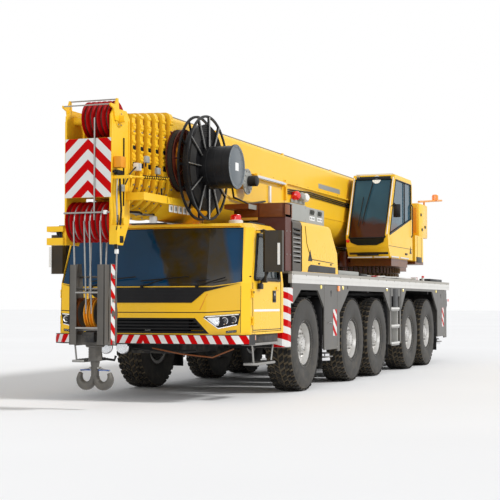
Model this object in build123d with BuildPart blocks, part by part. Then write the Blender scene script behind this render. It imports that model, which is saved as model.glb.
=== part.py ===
from build123d import *
import os
from math import pi

os.makedirs("parts", exist_ok=True)

# Five-axle all-terrain mobile crane in road travel order, in millimetres.
# +X forward, +Y to the machine's left, +Z up, origin on the ground below the middle of its length.

# Running gear
front_overhang = 4460
axle_gaps = (2650, 1650, 2600, 1650)
rear_overhang = 2390
overall_length = front_overhang + sum(axle_gaps) + rear_overhang
tyre_radius = 730
tyre_width = 445
tyre_bead_gap = 0.5
rim_seat_radius = 320
rim_flange_radius = 360
rim_flange_width = 15
rim_width = 400
rim_wall = 20
spindle_radius = 60
running_gap = 0.06
slide_gap = 0.5
moving_gap = 8

# Carrier levels and widths
frame_half_width = 430
frame_bottom = 950
frame_top = 1620
deck_bottom = 1670
deck_top = 1850
deck_front = 3930
skirt_thickness = 30
skirt_bottom = 560
side_plane_y = 1480

# Outriggers
outrigger_beam_width = 300
outrigger_beam_height = 380
outrigger_wall = 20
outrigger_floor = 900
jack_radius = 95
jack_rod_radius = 70
float_bottom = 420
jack_housing_top = 1420
panel_gap = 8
panel_front_reach = 310
panel_rear_reach = 420
panel_bottom = 600

# Truck cab
cab_rear = 4330
cab_bottom = 930
cab_roof = 2490
cab_wall = 60
cab_glass = 8
door_rear = 4420
door_front = 5640
door_bottom = 960
door_gap = 8
door_inner_y, door_outer_y = 1370, 1560

# Upper works
slew_x = -3960
ring_radius = 1140
ring_seat_radius = 1100
gear_bottom = 1885
gear_tooth_height = 40
gear_teeth = 60
gear_bore_radius = 850
ring_bottom = 1990
ring_top = 2110
platform_top = 2190
side_plate_y = 490
side_plate_thickness = 40
pivot_x = -6300
pivot_z = 3100
pivot_pin_radius = 90

# Boom
boom_half_width = 465
boom_top = 3950
boom_bottom = 2540
boom_corner = 70
boom_wall = 12
section_inset = 30
section_step_top = 25
section_count = 6
base_rear = -5900
base_front = 6230
collar_pitch = 170
collar_length = 105
collar_rise = 32
section_rear = -5650

# Boom head and hook block
head_half_width = 330
head_rear = 7110
head_front = 7640
head_side = 22
head_bottom = 2110
head_top = 3860
sheave_x = 7420
lower_sheave_z = 2410
upper_sheave_z = head_top - 130
lower_sheave_radius = 265
upper_sheave_radius = 240
sheave_groove_depth = 30
sheave_shaft_radius = 55
shaft_shoulder_y = 352
shaft_end_y = 422
jib_pin_radius = 48
rope_radius = 11
block_z = 1230

# Luffing cylinder
barrel_radius = 150
rod_radius = 105
luff_base_x = -4100
luff_base_z = 2345
luff_lug_top = luff_base_z + 105
luff_eye_x = 200
luff_eye_z = 2345

# Places worked out from the sizes above
axle_x = [overall_length / 2 - front_overhang]
for gap in axle_gaps:
    axle_x.append(axle_x[-1] - gap)
tail_x = -overall_length / 2
nose_x = overall_length / 2
wheel_y = side_plane_y - tyre_width / 2
kingpin_y = wheel_y - 248


def side_plane(y):
    """A plane along the machine at y: local x forward, local y up, normal to the right."""
    return Plane(origin=(0, y, 0), x_dir=(1, 0, 0), z_dir=(0, -1, 0))


def front_plane(x):
    """A plane across the machine at x: local x to the left, local y up, normal forward."""
    return Plane(origin=(x, 0, 0), x_dir=(0, 1, 0), z_dir=(1, 0, 0))


def side_slab(points, y, mode=Mode.ADD, grow=0):
    """An outline of (x, z) points as a slab between a low and a high y."""
    with BuildSketch(side_plane(y[1])) as outline:
        with BuildLine():
            Polyline(*points, close=True)
        make_face()
        if grow:
            offset(amount=grow, kind=Kind.INTERSECTION)
    extrude(outline.sketch, amount=y[1] - y[0], mode=mode)


def level_slab(points, z, mode=Mode.ADD, grow=0):
    """An outline of (x, y) points as a slab between a low and a high z."""
    with BuildSketch(Plane.XY.offset(z[0])) as outline:
        with BuildLine():
            Polyline(*points, close=True)
        make_face()
        if grow:
            offset(amount=grow, kind=Kind.INTERSECTION)
    extrude(outline.sketch, amount=z[1] - z[0], mode=mode)


def cross_slab(points, x, mode=Mode.ADD, grow=0):
    """An outline of (y, z) points as a slab between a rear and a front x."""
    with BuildSketch(front_plane(x[0])) as outline:
        with BuildLine():
            Polyline(*points, close=True)
        make_face()
        if grow:
            offset(amount=grow, kind=Kind.INTERSECTION)
    extrude(outline.sketch, amount=x[1] - x[0], mode=mode)


def block(x, y, z, mode=Mode.ADD):
    """A box from its low and high values on each axis."""
    with Locations(((x[0] + x[1]) / 2, (y[0] + y[1]) / 2, (z[0] + z[1]) / 2)):
        Box(x[1] - x[0], y[1] - y[0], z[1] - z[0], mode=mode)


def rod_across(x, z, radius, y, mode=Mode.ADD):
    """A cylinder along Y between a low and a high y."""
    with BuildSketch(side_plane(y[1])) as disc:
        with Locations((x, z)):
            Circle(radius)
    extrude(disc.sketch, amount=y[1] - y[0], mode=mode)


def rod_along(y, z, radius, x, mode=Mode.ADD):
    """A cylinder along X between a rear and a front x."""
    with BuildSketch(front_plane(x[0])) as disc:
        with Locations((y, z)):
            Circle(radius)
    extrude(disc.sketch, amount=x[1] - x[0], mode=mode)


def rod_up(x, y, radius, z, mode=Mode.ADD):
    """A cylinder along Z between a low and a high z."""
    with BuildSketch(Plane.XY.offset(z[0])) as disc:
        with Locations((x, y)):
            Circle(radius)
    extrude(disc.sketch, amount=z[1] - z[0], mode=mode)


def keep(piece, name):
    """Labels a finished piece and writes it under that name."""
    piece.label = name
    export_step(piece, f"parts/{name}.step")


# Wheels: tyre on a dished steel rim whose hub turns on the knuckle's spindle
tyre_outline = [  # radius, offset from the wheel's middle towards the outside
    (rim_seat_radius + tyre_bead_gap, 184),
    (rim_flange_radius + 4, 184),
    (530, 222.5),
    (690, 200),
    (tyre_radius, 165),
]
rim_outline = [  # radius, offset from the wheel's middle towards the outside
    (rim_flange_radius, rim_width / 2),
    (rim_flange_radius, rim_width / 2 - rim_flange_width),
    (rim_seat_radius, rim_width / 2 - rim_flange_width),
    (rim_seat_radius, rim_flange_width - rim_width / 2),
    (rim_flange_radius, rim_flange_width - rim_width / 2),
    (rim_flange_radius, -rim_width / 2),
    (rim_seat_radius - rim_wall, -rim_width / 2),
    (rim_seat_radius - rim_wall, 55),
    (150, 75),
    (150, -70),
    (spindle_radius + running_gap, -70),
    (spindle_radius + running_gap, 100),
    (0, 100),
    (0, 165),
    (95, 165),
    (125, 100),
    (180, 100),
    (rim_seat_radius - rim_wall, 80),
    (rim_seat_radius - rim_wall, rim_width / 2),
]


def turned(points, x, y, side):
    """Revolves (radius, offset) points about a wheel's axle, outside on the given side."""
    centre = (x, y, tyre_radius)
    with BuildSketch(Plane(origin=centre, x_dir=(1, 0, 0), z_dir=(0, 0, 1))) as outline:
        with BuildLine():
            Polyline(*[(radius, side * offset) for radius, offset in points], close=True)
        make_face()
    revolve(outline.sketch, axis=Axis(centre, (0, 1, 0)))


sides = [("left", 1), ("right", -1)]
for number, x in enumerate(axle_x, 1):
    for side_name, side in sides:
        with BuildPart() as wheel:
            inner = [(radius, -offset) for radius, offset in reversed(tyre_outline)]
            turned(tyre_outline + inner, x, side * wheel_y, side)
            turned(rim_outline, x, side * wheel_y, side)
        keep(wheel.part, f"wheel_{number}_{side_name}")

# Knuckles of the steered axles, each with its kingpin, spindle and brake drum
steered_axles = (1, 2, 4, 5)
kingpin_radius = 35
yoke_radius = 72
yoke_gap = (115, 165)
drum_radius = 270
drum_reach = (178, 80)
spindle_reach = (100, 95)
yoke_arm_half_width = 60
yoke_root = 165


def drum_and_spindle(x, side):
    """A brake drum with the wheel's spindle beyond it, on one side of an axle."""
    rod_across(x, tyre_radius, drum_radius,
               sorted((side * (wheel_y - drum_reach[0]), side * (wheel_y - drum_reach[1]))))
    rod_across(x, tyre_radius, spindle_radius,
               sorted((side * (wheel_y - spindle_reach[0]), side * (wheel_y + spindle_reach[1]))))


def knuckle_solid(x, side):
    """A steering knuckle about its upright kingpin."""
    for lug in ((tyre_radius + yoke_gap[0], tyre_radius + yoke_gap[1]),
                (tyre_radius - yoke_gap[1], tyre_radius - yoke_gap[0])):
        rod_up(x, side * kingpin_y, yoke_radius, lug)
        block((x - yoke_arm_half_width, x + yoke_arm_half_width),
              sorted((side * kingpin_y, side * (wheel_y - yoke_root))), lug)
    rod_up(x, side * kingpin_y, kingpin_radius,
           (tyre_radius - yoke_gap[1], tyre_radius + yoke_gap[1]))
    drum_and_spindle(x, side)


for number in steered_axles:
    for side_name, side in sides:
        with BuildPart() as knuckle:
            knuckle_solid(axle_x[number - 1], side)
        keep(knuckle.part, f"knuckle_{number}_{side_name}")

# Axles with their differential housings and upright suspension cylinders; the fixed axle has spindles
axle_height = 150
axle_depth = 130
housing_radius = 215
housing_half_width = 170
fixed_hub_radius = 120
boss_radius = 68
strut_y = 560
strut_radius = 70
strut_collar = 1150
strut_top = 1400
with BuildPart() as axles:
    for number, x in enumerate(axle_x, 1):
        block((x - axle_depth / 2, x + axle_depth / 2), (-kingpin_y, kingpin_y),
              (tyre_radius - axle_height / 2, tyre_radius + axle_height / 2))
        rod_across(x, tyre_radius, housing_radius, (-housing_half_width, housing_half_width))
        for side_name, side in sides:
            if number in steered_axles:
                top = yoke_gap[0] - slide_gap
                rod_up(x, side * kingpin_y, boss_radius, (tyre_radius - top, tyre_radius + top))
                rod_up(x, side * kingpin_y, kingpin_radius + running_gap,
                       (tyre_radius - yoke_gap[1], tyre_radius + yoke_gap[1]), Mode.SUBTRACT)
            else:
                drum_and_spindle(x, side)
                rod_across(x, tyre_radius, fixed_hub_radius,
                           sorted((side * (kingpin_y - 100), side * (wheel_y - 170))))
        for side_name, side in sides:
            strut_foot = tyre_radius + axle_height / 2
            rod_up(x, side * strut_y, strut_radius, (strut_foot - 20, strut_collar))
            rod_up(x, side * strut_y, strut_radius + 25, (strut_collar - 30, strut_top - slide_gap))
keep(axles.part, "axles_and_struts")

# Chassis frame: main box, cranked front, strut brackets, cross boxes for the outriggers, ring seat
outrigger_box_width = 2 * outrigger_beam_width + 3 * outrigger_wall + 4 * moving_gap
outrigger_box_height = outrigger_beam_height + 2 * outrigger_wall + moving_gap + slide_gap
front_outrigger_x = 1830
rear_outrigger_x = -6780
outriggers = [("front", front_outrigger_x), ("rear", rear_outrigger_x)]
beam_offset = (outrigger_beam_width + outrigger_wall) / 2 + moving_gap
box_half_length = 1205
frame_front = 3900
nose_top, nose_bottom = 900, 650
frame_rear = -7560
cab_mounts = (4400, 5450)
cab_mount_half_length = 60
strut_bracket_half_length, strut_bracket_height = 110, 90
tail_beam_half_length, tail_beam_z = 1400, (1250, 1600)
bumper_rear = 5560
deck_plate = 30
rail_thickness = 60
bearer_places = (-7300, -5600, -2300, -600, 900, 3600)
bearer_half_length = side_plane_y - rail_thickness - 1
coupling_half_width = 90
coupling_z = 1060


def beam_middle(x, side):
    """The middle of an outrigger beam: the left one runs in front of the right one."""
    return x + side * beam_offset


def panel_span(x, side):
    """The low and high x of the cover panel on an outrigger beam's outer end."""
    middle = beam_middle(x, side)
    return sorted((middle - side * panel_rear_reach, middle + side * panel_front_reach))


with BuildPart() as frame:
    half = frame_half_width
    block((frame_rear, frame_front), (-half, half), (frame_bottom, frame_top))
    nose_half = half - 30
    side_slab([(frame_front, frame_bottom), (frame_front, frame_top), (4150, frame_top), (4250, nose_top),
               (bumper_rear - slide_gap, nose_top), (bumper_rear - slide_gap, nose_bottom),
               (4300, nose_bottom)], (-nose_half, nose_half))
    for mount_x in cab_mounts:
        block((mount_x - cab_mount_half_length, mount_x + cab_mount_half_length), (-nose_half, nose_half),
              (nose_top, cab_bottom - slide_gap))
    for bearer_x in bearer_places:
        block((bearer_x - 40, bearer_x + 40), (-bearer_half_length, bearer_half_length),
              (frame_top - 60, deck_top - deck_plate - slide_gap))
    for x in axle_x:
        for side_name, side in sides:
            block((x - strut_bracket_half_length, x + strut_bracket_half_length),
                  sorted((side * (half - 10), side * (strut_y + strut_radius + 30))),
                  (strut_top, strut_top + strut_bracket_height))
    for place_name, x in outriggers:
        low = outrigger_floor - outrigger_wall
        block((x - outrigger_box_width / 2, x + outrigger_box_width / 2),
              (-box_half_length, box_half_length), (low, low + outrigger_box_height))
        for side_name, side in sides:
            middle = beam_middle(x, side)
            reach = outrigger_beam_width / 2 + moving_gap
            block((middle - reach, middle + reach), (-box_half_length, box_half_length),
                  (outrigger_floor, low + outrigger_box_height - outrigger_wall), Mode.SUBTRACT)
    block((tail_x, frame_rear), (-tail_beam_half_length, tail_beam_half_length), tail_beam_z)
    rod_up(slew_x, 0, ring_seat_radius, (frame_top, gear_bottom - slide_gap))
    block((tail_x, tail_x + 60), (-coupling_half_width, coupling_half_width), (coupling_z - 110, 1300))
    rod_up(tail_x + 60, 0, 45, (coupling_z - 90, coupling_z + 90))
keep(frame.part, "chassis_frame")

# Slewing ring gear bolted on the frame's round seat, with its teeth outside
tooth_pitch = 2 * pi * ring_seat_radius / gear_teeth
with BuildPart() as gear:
    gear_top = ring_bottom - slide_gap
    rod_up(slew_x, 0, ring_seat_radius, (gear_bottom, gear_top))
    with BuildSketch(Plane.XY.offset(gear_bottom + 15)) as teeth:
        with Locations((slew_x, 0)):
            with PolarLocations(ring_seat_radius + gear_tooth_height / 2 - 5, gear_teeth):
                Trapezoid(tooth_pitch * 0.66, gear_tooth_height, 65, rotation=-90)
    extrude(teeth.sketch, amount=gear_top - gear_bottom - 25)
    rod_up(slew_x, 0, gear_bore_radius, (gear_bottom - 1, gear_top + 1), Mode.SUBTRACT)
keep(gear.part, "slew_ring_gear")

engine_x = (1800, 3300)
engine_half_width = 410
engine_top = 2140

# Deck: full-width plate with a deep edge rail and a ladder on each side
ladder_x = (-2760, -2100)
ladder_depth = 160
ladder_stile = 35
ladder_steps = (560, 900, 1240)
with BuildPart() as deck:
    plate_bottom = deck_top - deck_plate
    block((tail_x + 60, deck_front), (-side_plane_y, side_plane_y), (plate_bottom, deck_top))
    for side_name, side in sides:
        block((tail_x + 60, deck_front),
              sorted((side * (side_plane_y - rail_thickness), side * side_plane_y)),
              (deck_bottom, plate_bottom))
    rod_up(slew_x, 0, ring_seat_radius + 5, (plate_bottom - 1, deck_top + 1), Mode.SUBTRACT)
    block((engine_x[0] - 20, engine_x[1] + 20), (-engine_half_width - 20, engine_half_width + 20),
          (plate_bottom - 1, deck_top + 1), Mode.SUBTRACT)
    for side_name, side in sides:
        step_y = sorted((side * (side_plane_y - ladder_depth), side * side_plane_y))
        stile_y = sorted((side * (side_plane_y - ladder_depth),
                          side * (side_plane_y - skirt_thickness - panel_gap)))
        for stile_x in (ladder_x[0], ladder_x[1] - ladder_stile):
            block((stile_x, stile_x + ladder_stile), stile_y, (ladder_steps[0], deck_top - deck_plate + 1))
        for step_z in ladder_steps:
            block(ladder_x, step_y, (step_z, step_z + 35))
keep(deck.part, "deck")

# Side skirts with their trapezoid wheel arches
arches = [  # front foot, front shoulder, rear shoulder, rear foot, shoulder height
    (4170, 3500, 2640, 2210, 1570),
    (1440, 870, -1530, -1980, 1580),
    (-2860, -3310, -5760, -6300, 1620),
]
arch_foot = 1200
fender_sheet = 15
fender_inner_y = 1020
fender_bottom, fender_top = 700, 1600
fender_low_rear, fender_low_top = 3990, 1360  # below this height the sheet stays clear of the steered wheel
fender_outline = [  # x, y: round the front of the first wheel's arch, out and back
    (deck_front - 40, side_plane_y), (4130, side_plane_y), (4240, side_plane_y - 55),
    (4275, side_plane_y - 180), (4275, fender_inner_y), (4275 - fender_sheet, fender_inner_y),
    (4275 - fender_sheet, side_plane_y - 184), (4228, side_plane_y - 66),
    (4126, side_plane_y - fender_sheet), (deck_front - 40, side_plane_y - fender_sheet),
]
with BuildPart() as skirts:
    for side_name, side in sides:
        y = sorted((side * (side_plane_y - skirt_thickness), side * side_plane_y))
        block((tail_x + 400, deck_front), y, (skirt_bottom, deck_bottom - slide_gap))
        for foot_front, top_front, top_rear, foot_rear, height in arches:
            side_slab([(foot_front, 0), (foot_front, arch_foot), (top_front, height),
                       (top_rear, height), (foot_rear, arch_foot), (foot_rear, 0)],
                      (y[0] - 1, y[1] + 1), Mode.SUBTRACT)
        block((ladder_x[0] - panel_gap, ladder_x[1] + panel_gap), (y[0] - 1, y[1] + 1), (0, 1500),
              Mode.SUBTRACT)
        for place_name, x in outriggers:
            panel = panel_span(x, side)
            block((panel[0] - panel_gap, panel[1] + panel_gap), (y[0] - 1, y[1] + 1), (0, deck_bottom),
                  Mode.SUBTRACT)
        fender = [(x, side * fender_y) for x, fender_y in fender_outline]
        level_slab(fender, (fender_bottom, fender_top))
        block((deck_front - 41, fender_low_rear), (y[0] - 1, y[1] + 1), (fender_bottom - 1, fender_low_top),
              Mode.SUBTRACT)
        block((deck_front - 40, 4240), sorted((side * fender_inner_y, side * (side_plane_y - 60))),
              (fender_top - fender_sheet, fender_top))
keep(skirts.part, "side_skirts")

# Outrigger beams with their upright jack housings at the outer ends
jack_y = 1345
jack_collar_height = 60
jack_bore_top = 1380
float_radius, float_height = 130, 40
float_neck_radius, float_neck_top = 120, 110
for place_name, x in outriggers:
    for side_name, side in sides:
        middle = beam_middle(x, side)
        with BuildPart() as beam:
            low = outrigger_floor + slide_gap
            inner_end = -box_half_length + 60
            block((middle - outrigger_beam_width / 2, middle + outrigger_beam_width / 2),
                  sorted((side * inner_end, side * side_plane_y)), (low, low + outrigger_beam_height))
            rod_up(middle, side * jack_y, jack_radius + 25, (low - jack_collar_height, jack_housing_top))
            block(panel_span(x, side), sorted((side * (side_plane_y - 20), side * side_plane_y)),
                  (panel_bottom, deck_bottom - moving_gap))
            rod_up(middle, side * jack_y, jack_rod_radius + running_gap, (low - 100, jack_bore_top),
                   Mode.SUBTRACT)
        keep(beam.part, f"outrigger_beam_{place_name}_{side_name}")
        with BuildPart() as jack:
            rod_up(middle, side * jack_y, jack_rod_radius, (float_bottom + 30, jack_bore_top - 10))
            rod_up(middle, side * jack_y, float_neck_radius,
                   (float_bottom + 30, float_bottom + float_neck_top))
            rod_up(middle, side * jack_y, float_radius, (float_bottom, float_bottom + float_height))
        keep(jack.part, f"outrigger_jack_{place_name}_{side_name}")

# Truck cab: outer form as level sections from the sill to the roof
cab_levels = [  # height, rear, end of side, corner, shoulder, middle of the front, half width
    (cab_bottom, cab_rear, 5690, 5850, 5930, 5955, 1480),
    (1640, cab_rear, 5670, 5830, 5915, 5940, 1480),
    (2420, 4470, 5420, 5560, 5650, 5680, 1440),
    (cab_roof, 4560, 5340, 5460, 5540, 5570, 1360),
]


def cab_form(inset):
    """The cab's body, drawn in from its outer skin by an inset."""
    with BuildPart() as form:
        for height, rear, side_end, corner, shoulder, middle, half in cab_levels:
            lift = inset if height == cab_bottom else -inset if height == cab_roof else 0
            wide = half - inset
            with BuildSketch(Plane.XY.offset(height + lift)):
                with BuildLine():
                    Polyline((rear + inset, wide), (side_end, wide),
                             (corner - inset, wide - 80), (shoulder - inset, wide - 560),
                             (middle - inset, 0), (shoulder - inset, 560 - wide),
                             (corner - inset, 80 - wide), (side_end, -wide),
                             (rear + inset, -wide), close=True)
                make_face()
        loft(ruled=True)
    return form.part


door_outline = [(door_rear, door_bottom), (door_rear, 1700), (4510, 2390),
                (5380, 2390), (door_front, 1660), (door_front, door_bottom)]
door_window = [(4500, 1700), (4580, 2330), (5330, 2330), (5540, 1700)]
windscreen = [(-1405, 1660), (-1300, 1640), (-1000, 1600), (1000, 1600), (1300, 1640), (1405, 1660),
              (1330, 2420), (-1330, 2420)]
black_panel = [(-1370, 1640), (-1300, 1625), (-1000, 1585), (1000, 1585), (1300, 1625), (1370, 1640),
               (890, 1520), (700, 1370), (-700, 1370), (-890, 1520)]
grille_mouth = [(-960, 945), (-750, 1160), (750, 1160), (960, 945)]
headlamp = [(1080, 1010), (870, 1165), (900, 1190), (1390, 1225), (1355, 1065)]
fog_lamp = [(1190, 950), (1190, 985), (1340, 1000), (1340, 965)]
sun_visor = [(5520, -1290), (5520, 1290), (5600, 1290), (5650, 880), (5680, 0), (5650, -880), (5600, -1290)]
sun_visor_z = (2440, 2475)
front_zone = (5300, 6100)
lamp_zone = (5700, 6100)
hinge_x = door_front
hinge_y = side_plane_y + 20
hinge_pin_radius = 9
hinge_eye_radius = 18
hinge_eye_height = 60
door_hinge_z = (1120, 1500)


cab_walls = cab_form(0) - cab_form(cab_wall)
with BuildPart() as cab_shell:
    add(cab_walls)
    for side_name, side in sides:
        wall = sorted((side * door_inner_y, side * door_outer_y))
        side_slab(door_outline, wall, Mode.SUBTRACT)
        for hinge_z in door_hinge_z:
            low, high = hinge_z - hinge_eye_height / 2, hinge_z + hinge_eye_height / 2
            for lug in ((low - 30, low - slide_gap), (high + slide_gap, high + 30)):
                rod_up(hinge_x, side * hinge_y, hinge_eye_radius, lug)
                block((hinge_x, hinge_x + 40), sorted((side * (side_plane_y - 30), side * hinge_y)), lug)
            rod_up(hinge_x, side * hinge_y, hinge_pin_radius, (low - 30, high + 30))
    cross_slab(windscreen, front_zone, Mode.SUBTRACT)
    cross_slab(grille_mouth, lamp_zone, Mode.SUBTRACT)
    for side_name, side in sides:
        for lamp in (headlamp, fog_lamp):
            cross_slab([(side * y, z) for y, z in lamp], lamp_zone, Mode.SUBTRACT)
    level_slab(sun_visor, sun_visor_z)
keep(cab_shell.part, "truck_cab_shell")

pane = cab_form(20) - cab_form(20 + cab_glass)
with BuildPart() as cab_glass_piece:
    add(pane)
    cross_slab(windscreen, front_zone, Mode.INTERSECT, -slide_gap)
keep(cab_glass_piece.part, "truck_cab_windscreen")

mirror_x = 5360
mirror_z = (1800, 2380)
mirror_arm_half_width = 20
mirror_arms = [  # height, y of the root on the door
    (1650, 1440),
    (2350, 1400),
]
door_handle_x, door_handle_z = (4520, 4660), (1560, 1600)
grille_foot, grille_bar_pitch, grille_slot = 975, 45, 25


def low_reach(z):
    """Half the grille's slot width at a height, inside its slanting ends."""
    return 900 - (z - grille_mouth[0][1])


for side_name, side in sides:
    wall = sorted((side * door_inner_y, side * door_outer_y))
    with BuildPart() as door:
        add(cab_walls)
        side_slab(door_outline, wall, Mode.INTERSECT, -door_gap)
        side_slab(door_window, wall, Mode.SUBTRACT)
        level_slab([(mirror_x - 60, side * 1560), (mirror_x + 50, side * 1560), (mirror_x + 90, side * 1600),
                    (mirror_x + 70, side * 1790), (mirror_x + 20, side * 1830),
                    (mirror_x - 60, side * 1830)], mirror_z)
        for hinge_z in door_hinge_z:
            eye = (hinge_z - hinge_eye_height / 2, hinge_z + hinge_eye_height / 2)
            rod_up(hinge_x, side * hinge_y, hinge_eye_radius, eye)
            block((hinge_x - 45, hinge_x), sorted((side * (side_plane_y - 30), side * hinge_y)), eye)
            rod_up(hinge_x, side * hinge_y, hinge_pin_radius + running_gap, eye, Mode.SUBTRACT)
        arm_x = (mirror_x - mirror_arm_half_width, mirror_x + mirror_arm_half_width)
        for arm_z, root_y in mirror_arms:
            block(arm_x, sorted((side * root_y, side * 1600)), (arm_z, arm_z + 30))
        block(arm_x, sorted((side * 1570, side * 1600)), (mirror_arms[0][0], mirror_z[0] + 50))
        block(door_handle_x, sorted((side * (side_plane_y - 20), side * (side_plane_y + 20))), door_handle_z)
    keep(door.part, f"truck_cab_door_{side_name}")
    with BuildPart() as door_pane:
        add(pane)
        side_slab(door_window, wall, Mode.INTERSECT, -slide_gap)
    keep(door_pane.part, f"truck_cab_door_window_{side_name}")

# Cab interior: floor-mounted seats, dashboard and steering wheel
seat_places = (-780.0, 0.0, 780.0)
seat_half_width, seat_height, seat_x = 230, 380, (4700, 5150)
dashboard_half_width = 1150
wheel_rim_x, wheel_rim_z, wheel_rim_radius = 5310, 1705, 200
with BuildPart() as interior:
    floor = cab_bottom + cab_wall + slide_gap
    for seat_y in seat_places:
        seat_sides = (seat_y - seat_half_width, seat_y + seat_half_width)
        block(seat_x, seat_sides, (floor, floor + seat_height))
        back_foot = floor + seat_height - 10
        side_slab([(4700, back_foot), (4580, floor + 1000), (4690, floor + 1020), (4820, back_foot)],
                  seat_sides)
    side_slab([(5480, floor), (5400, 1560), (5560, 1630), (5730, 1610), (5760, 1250), (5600, floor)],
              (-dashboard_half_width, dashboard_half_width))
    column_y = seat_places[-1]
    with BuildSketch(Plane(origin=(wheel_rim_x, column_y, wheel_rim_z), z_dir=(-1, 0, 1))) as rim:
        Circle(wheel_rim_radius)
        Circle(wheel_rim_radius - 30, mode=Mode.SUBTRACT)
        Rectangle(50, 2 * wheel_rim_radius - 30)
    extrude(rim.sketch, amount=25)
    side_slab([(wheel_rim_x - 20, wheel_rim_z), (wheel_rim_x + 10, wheel_rim_z + 30),
               (5480, 1560), (5480, 1480)], (column_y - 25, column_y + 25))
keep(interior.part, "truck_cab_interior")

# Black front trim: panel under the windscreen, barred grille, lamp housings and the bumper below
bumper_top = cab_bottom - slide_gap
trim_rise = 12
grille_bars = 4
lamp_depth = 46
front_panel = cab_form(-trim_rise) - cab_form(-slide_gap)
lamp_body = cab_form(4) - cab_form(lamp_depth)
with BuildPart() as trim:
    add(front_panel)
    cross_slab(black_panel, lamp_zone, Mode.INTERSECT)
with BuildPart() as grille:
    add(lamp_body)
    cross_slab(grille_mouth, lamp_zone, Mode.INTERSECT, -slide_gap)
    for bar in range(grille_bars):
        low = grille_foot + bar * grille_bar_pitch
        reach = low_reach(low)
        cross_slab([(-reach, low), (-reach, low + grille_slot), (reach, low + grille_slot), (reach, low)],
                   lamp_zone, Mode.SUBTRACT)
with BuildPart() as lamps:
    for side_name, side in sides:
        for lamp in (headlamp, fog_lamp):
            with BuildPart() as housing:
                add(lamp_body)
                cross_slab([(side * y, z) for y, z in lamp], lamp_zone, Mode.INTERSECT, -slide_gap)
            add(housing.part)
with BuildPart() as bumper:
    add(trim.part)
    add(grille.part)
    add(lamps.part)
    level_slab([(bumper_rear, -1500), (bumper_rear, 1500), (5800, 1500), (5950, 1300), (6000, 700), (6010, 0),
                (6000, -700), (5950, -1300), (5800, -1500)], (790, bumper_top))
    level_slab([(5710, -400), (5710, 400), (bumper_rear, 400), (bumper_rear, -400)], (700, 860))
keep(bumper.part, "front_trim_and_bumper")

# Engine bay behind the cab: side covers, cowl, black stack and the engine itself
hood_rear, hood_front, hood_top = 1440, 3830, 2640
louvre_count, louvre_pitch, louvre_depth = 8, 70, 40
louvre_x, louvre_foot = (3460, 3780), 1980
cover_y = (620, 1455)
cover_edge = 60
cover_bridge_x, cover_bridge_z = (1600, 3600), (2170, 2200)
outlet_places, outlet_z, outlet_length, outlet_height = (2300, 2700), 2820, 260, 90
cowl_side_y = 1400
with BuildPart() as covers:
    for side_name, side in sides:
        y = sorted((side * cover_y[0], side * cover_y[1]))
        side_slab([(hood_rear, deck_top), (hood_rear + 60, 2200), (hood_rear + 440, 2590),
                   (hood_rear + 540, hood_top), (hood_front, hood_top), (hood_front, deck_top)], y)
    fillet(covers.edges().filter_by(Axis.X).group_by(Axis.Z)[-1], cover_edge)
    block(cover_bridge_x, (-cover_y[0] - 20, cover_y[0] + 20), cover_bridge_z)
    for side_name, side in sides:
        louvre_y = sorted((side * (cover_y[1] - louvre_depth), side * (cover_y[1] + 1)))
        for slot in range(louvre_count):
            low = louvre_foot + slot * louvre_pitch
            block(louvre_x, louvre_y, (low, low + louvre_pitch / 2), Mode.SUBTRACT)
keep(covers.part, "engine_covers")

with BuildPart() as cowl:
    block((2060, 3000), (980, cowl_side_y), (hood_top, 2890))
    block((3060, 3800), (980, 1420), (hood_top, 2900))
    block((3840, 4120), (1000, 1440), (deck_top + slide_gap, 2700))
    block((3840, 3900), (1000, 1440), (2600, 2890))
    block((2480, 4480), (600, 990), (2770, 2840))
    for outlet_x in outlet_places:
        with BuildSketch(side_plane(cowl_side_y + 1)) as outlet:
            with Locations((outlet_x, outlet_z)):
                SlotOverall(outlet_length, outlet_height)
        extrude(outlet.sketch, amount=120, mode=Mode.SUBTRACT)
keep(cowl.part, "exhaust_cowl")

with BuildPart() as engine:
    block(engine_x, (-engine_half_width, engine_half_width), (frame_top + slide_gap, engine_top))
keep(engine.part, "engine_block")

# Superstructure: slewing ring, base plate, two side plates, cab platform, winch
winch_x, winch_z, winch_radius = -6950, 2620, 260
side_plate = [(-2700, ring_top), (-2700, 2400), (-3300, 2560), (-5800, 3260), (-6150, 3330),
              (-6450, 3330), (-6620, 3100), (-7250, 2950), (-7250, ring_top)]
cab_hinge_x, cab_hinge_z = -4080, 2222
cab_floor = 2270
luff_lug_y = (125, 165)
luff_pin_radius = 60
pinion_radius = 55
pinion_clearance = 15
pinion_reach = ring_seat_radius + gear_tooth_height + pinion_radius + pinion_clearance
drive_y = 330
drive_x = slew_x + (pinion_reach ** 2 - drive_y ** 2) ** 0.5
drive_radius, drive_top = 130, 2420
pivot_plate_half_width = side_plate_y + side_plate_thickness
platform_x = (-7250, -2700)
cab_shelf_x, cab_shelf_outer_y = (-3850, -2500), 1380
cab_hinge_radius = 25
luff_pin_half_length = 200
winch_drum_radius, winch_flange_places, winch_flange_width = 200, (-400, 360), 40
cabinets = [  # x, y, z of the closed boxes round the boom's foot
    ((-5160, -4400), (530, 1420), (2200, 2820)),
    ((-5200, -3300), (-1400, -530), (2200, 2950)),
    ((-6400, -5700), (-1300, -530), (2200, 2700)),
    ((-6000, -5600), (530, 880), (2700, 3560)),
]
grab_rail = [  # x, y, z of a rail over the boom's foot and its post
    ((-7300, -5800), (600, 640), (3350, 3400)),
    ((-6000, -5900), (600, 640), (3300, 3360)),
]
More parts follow.
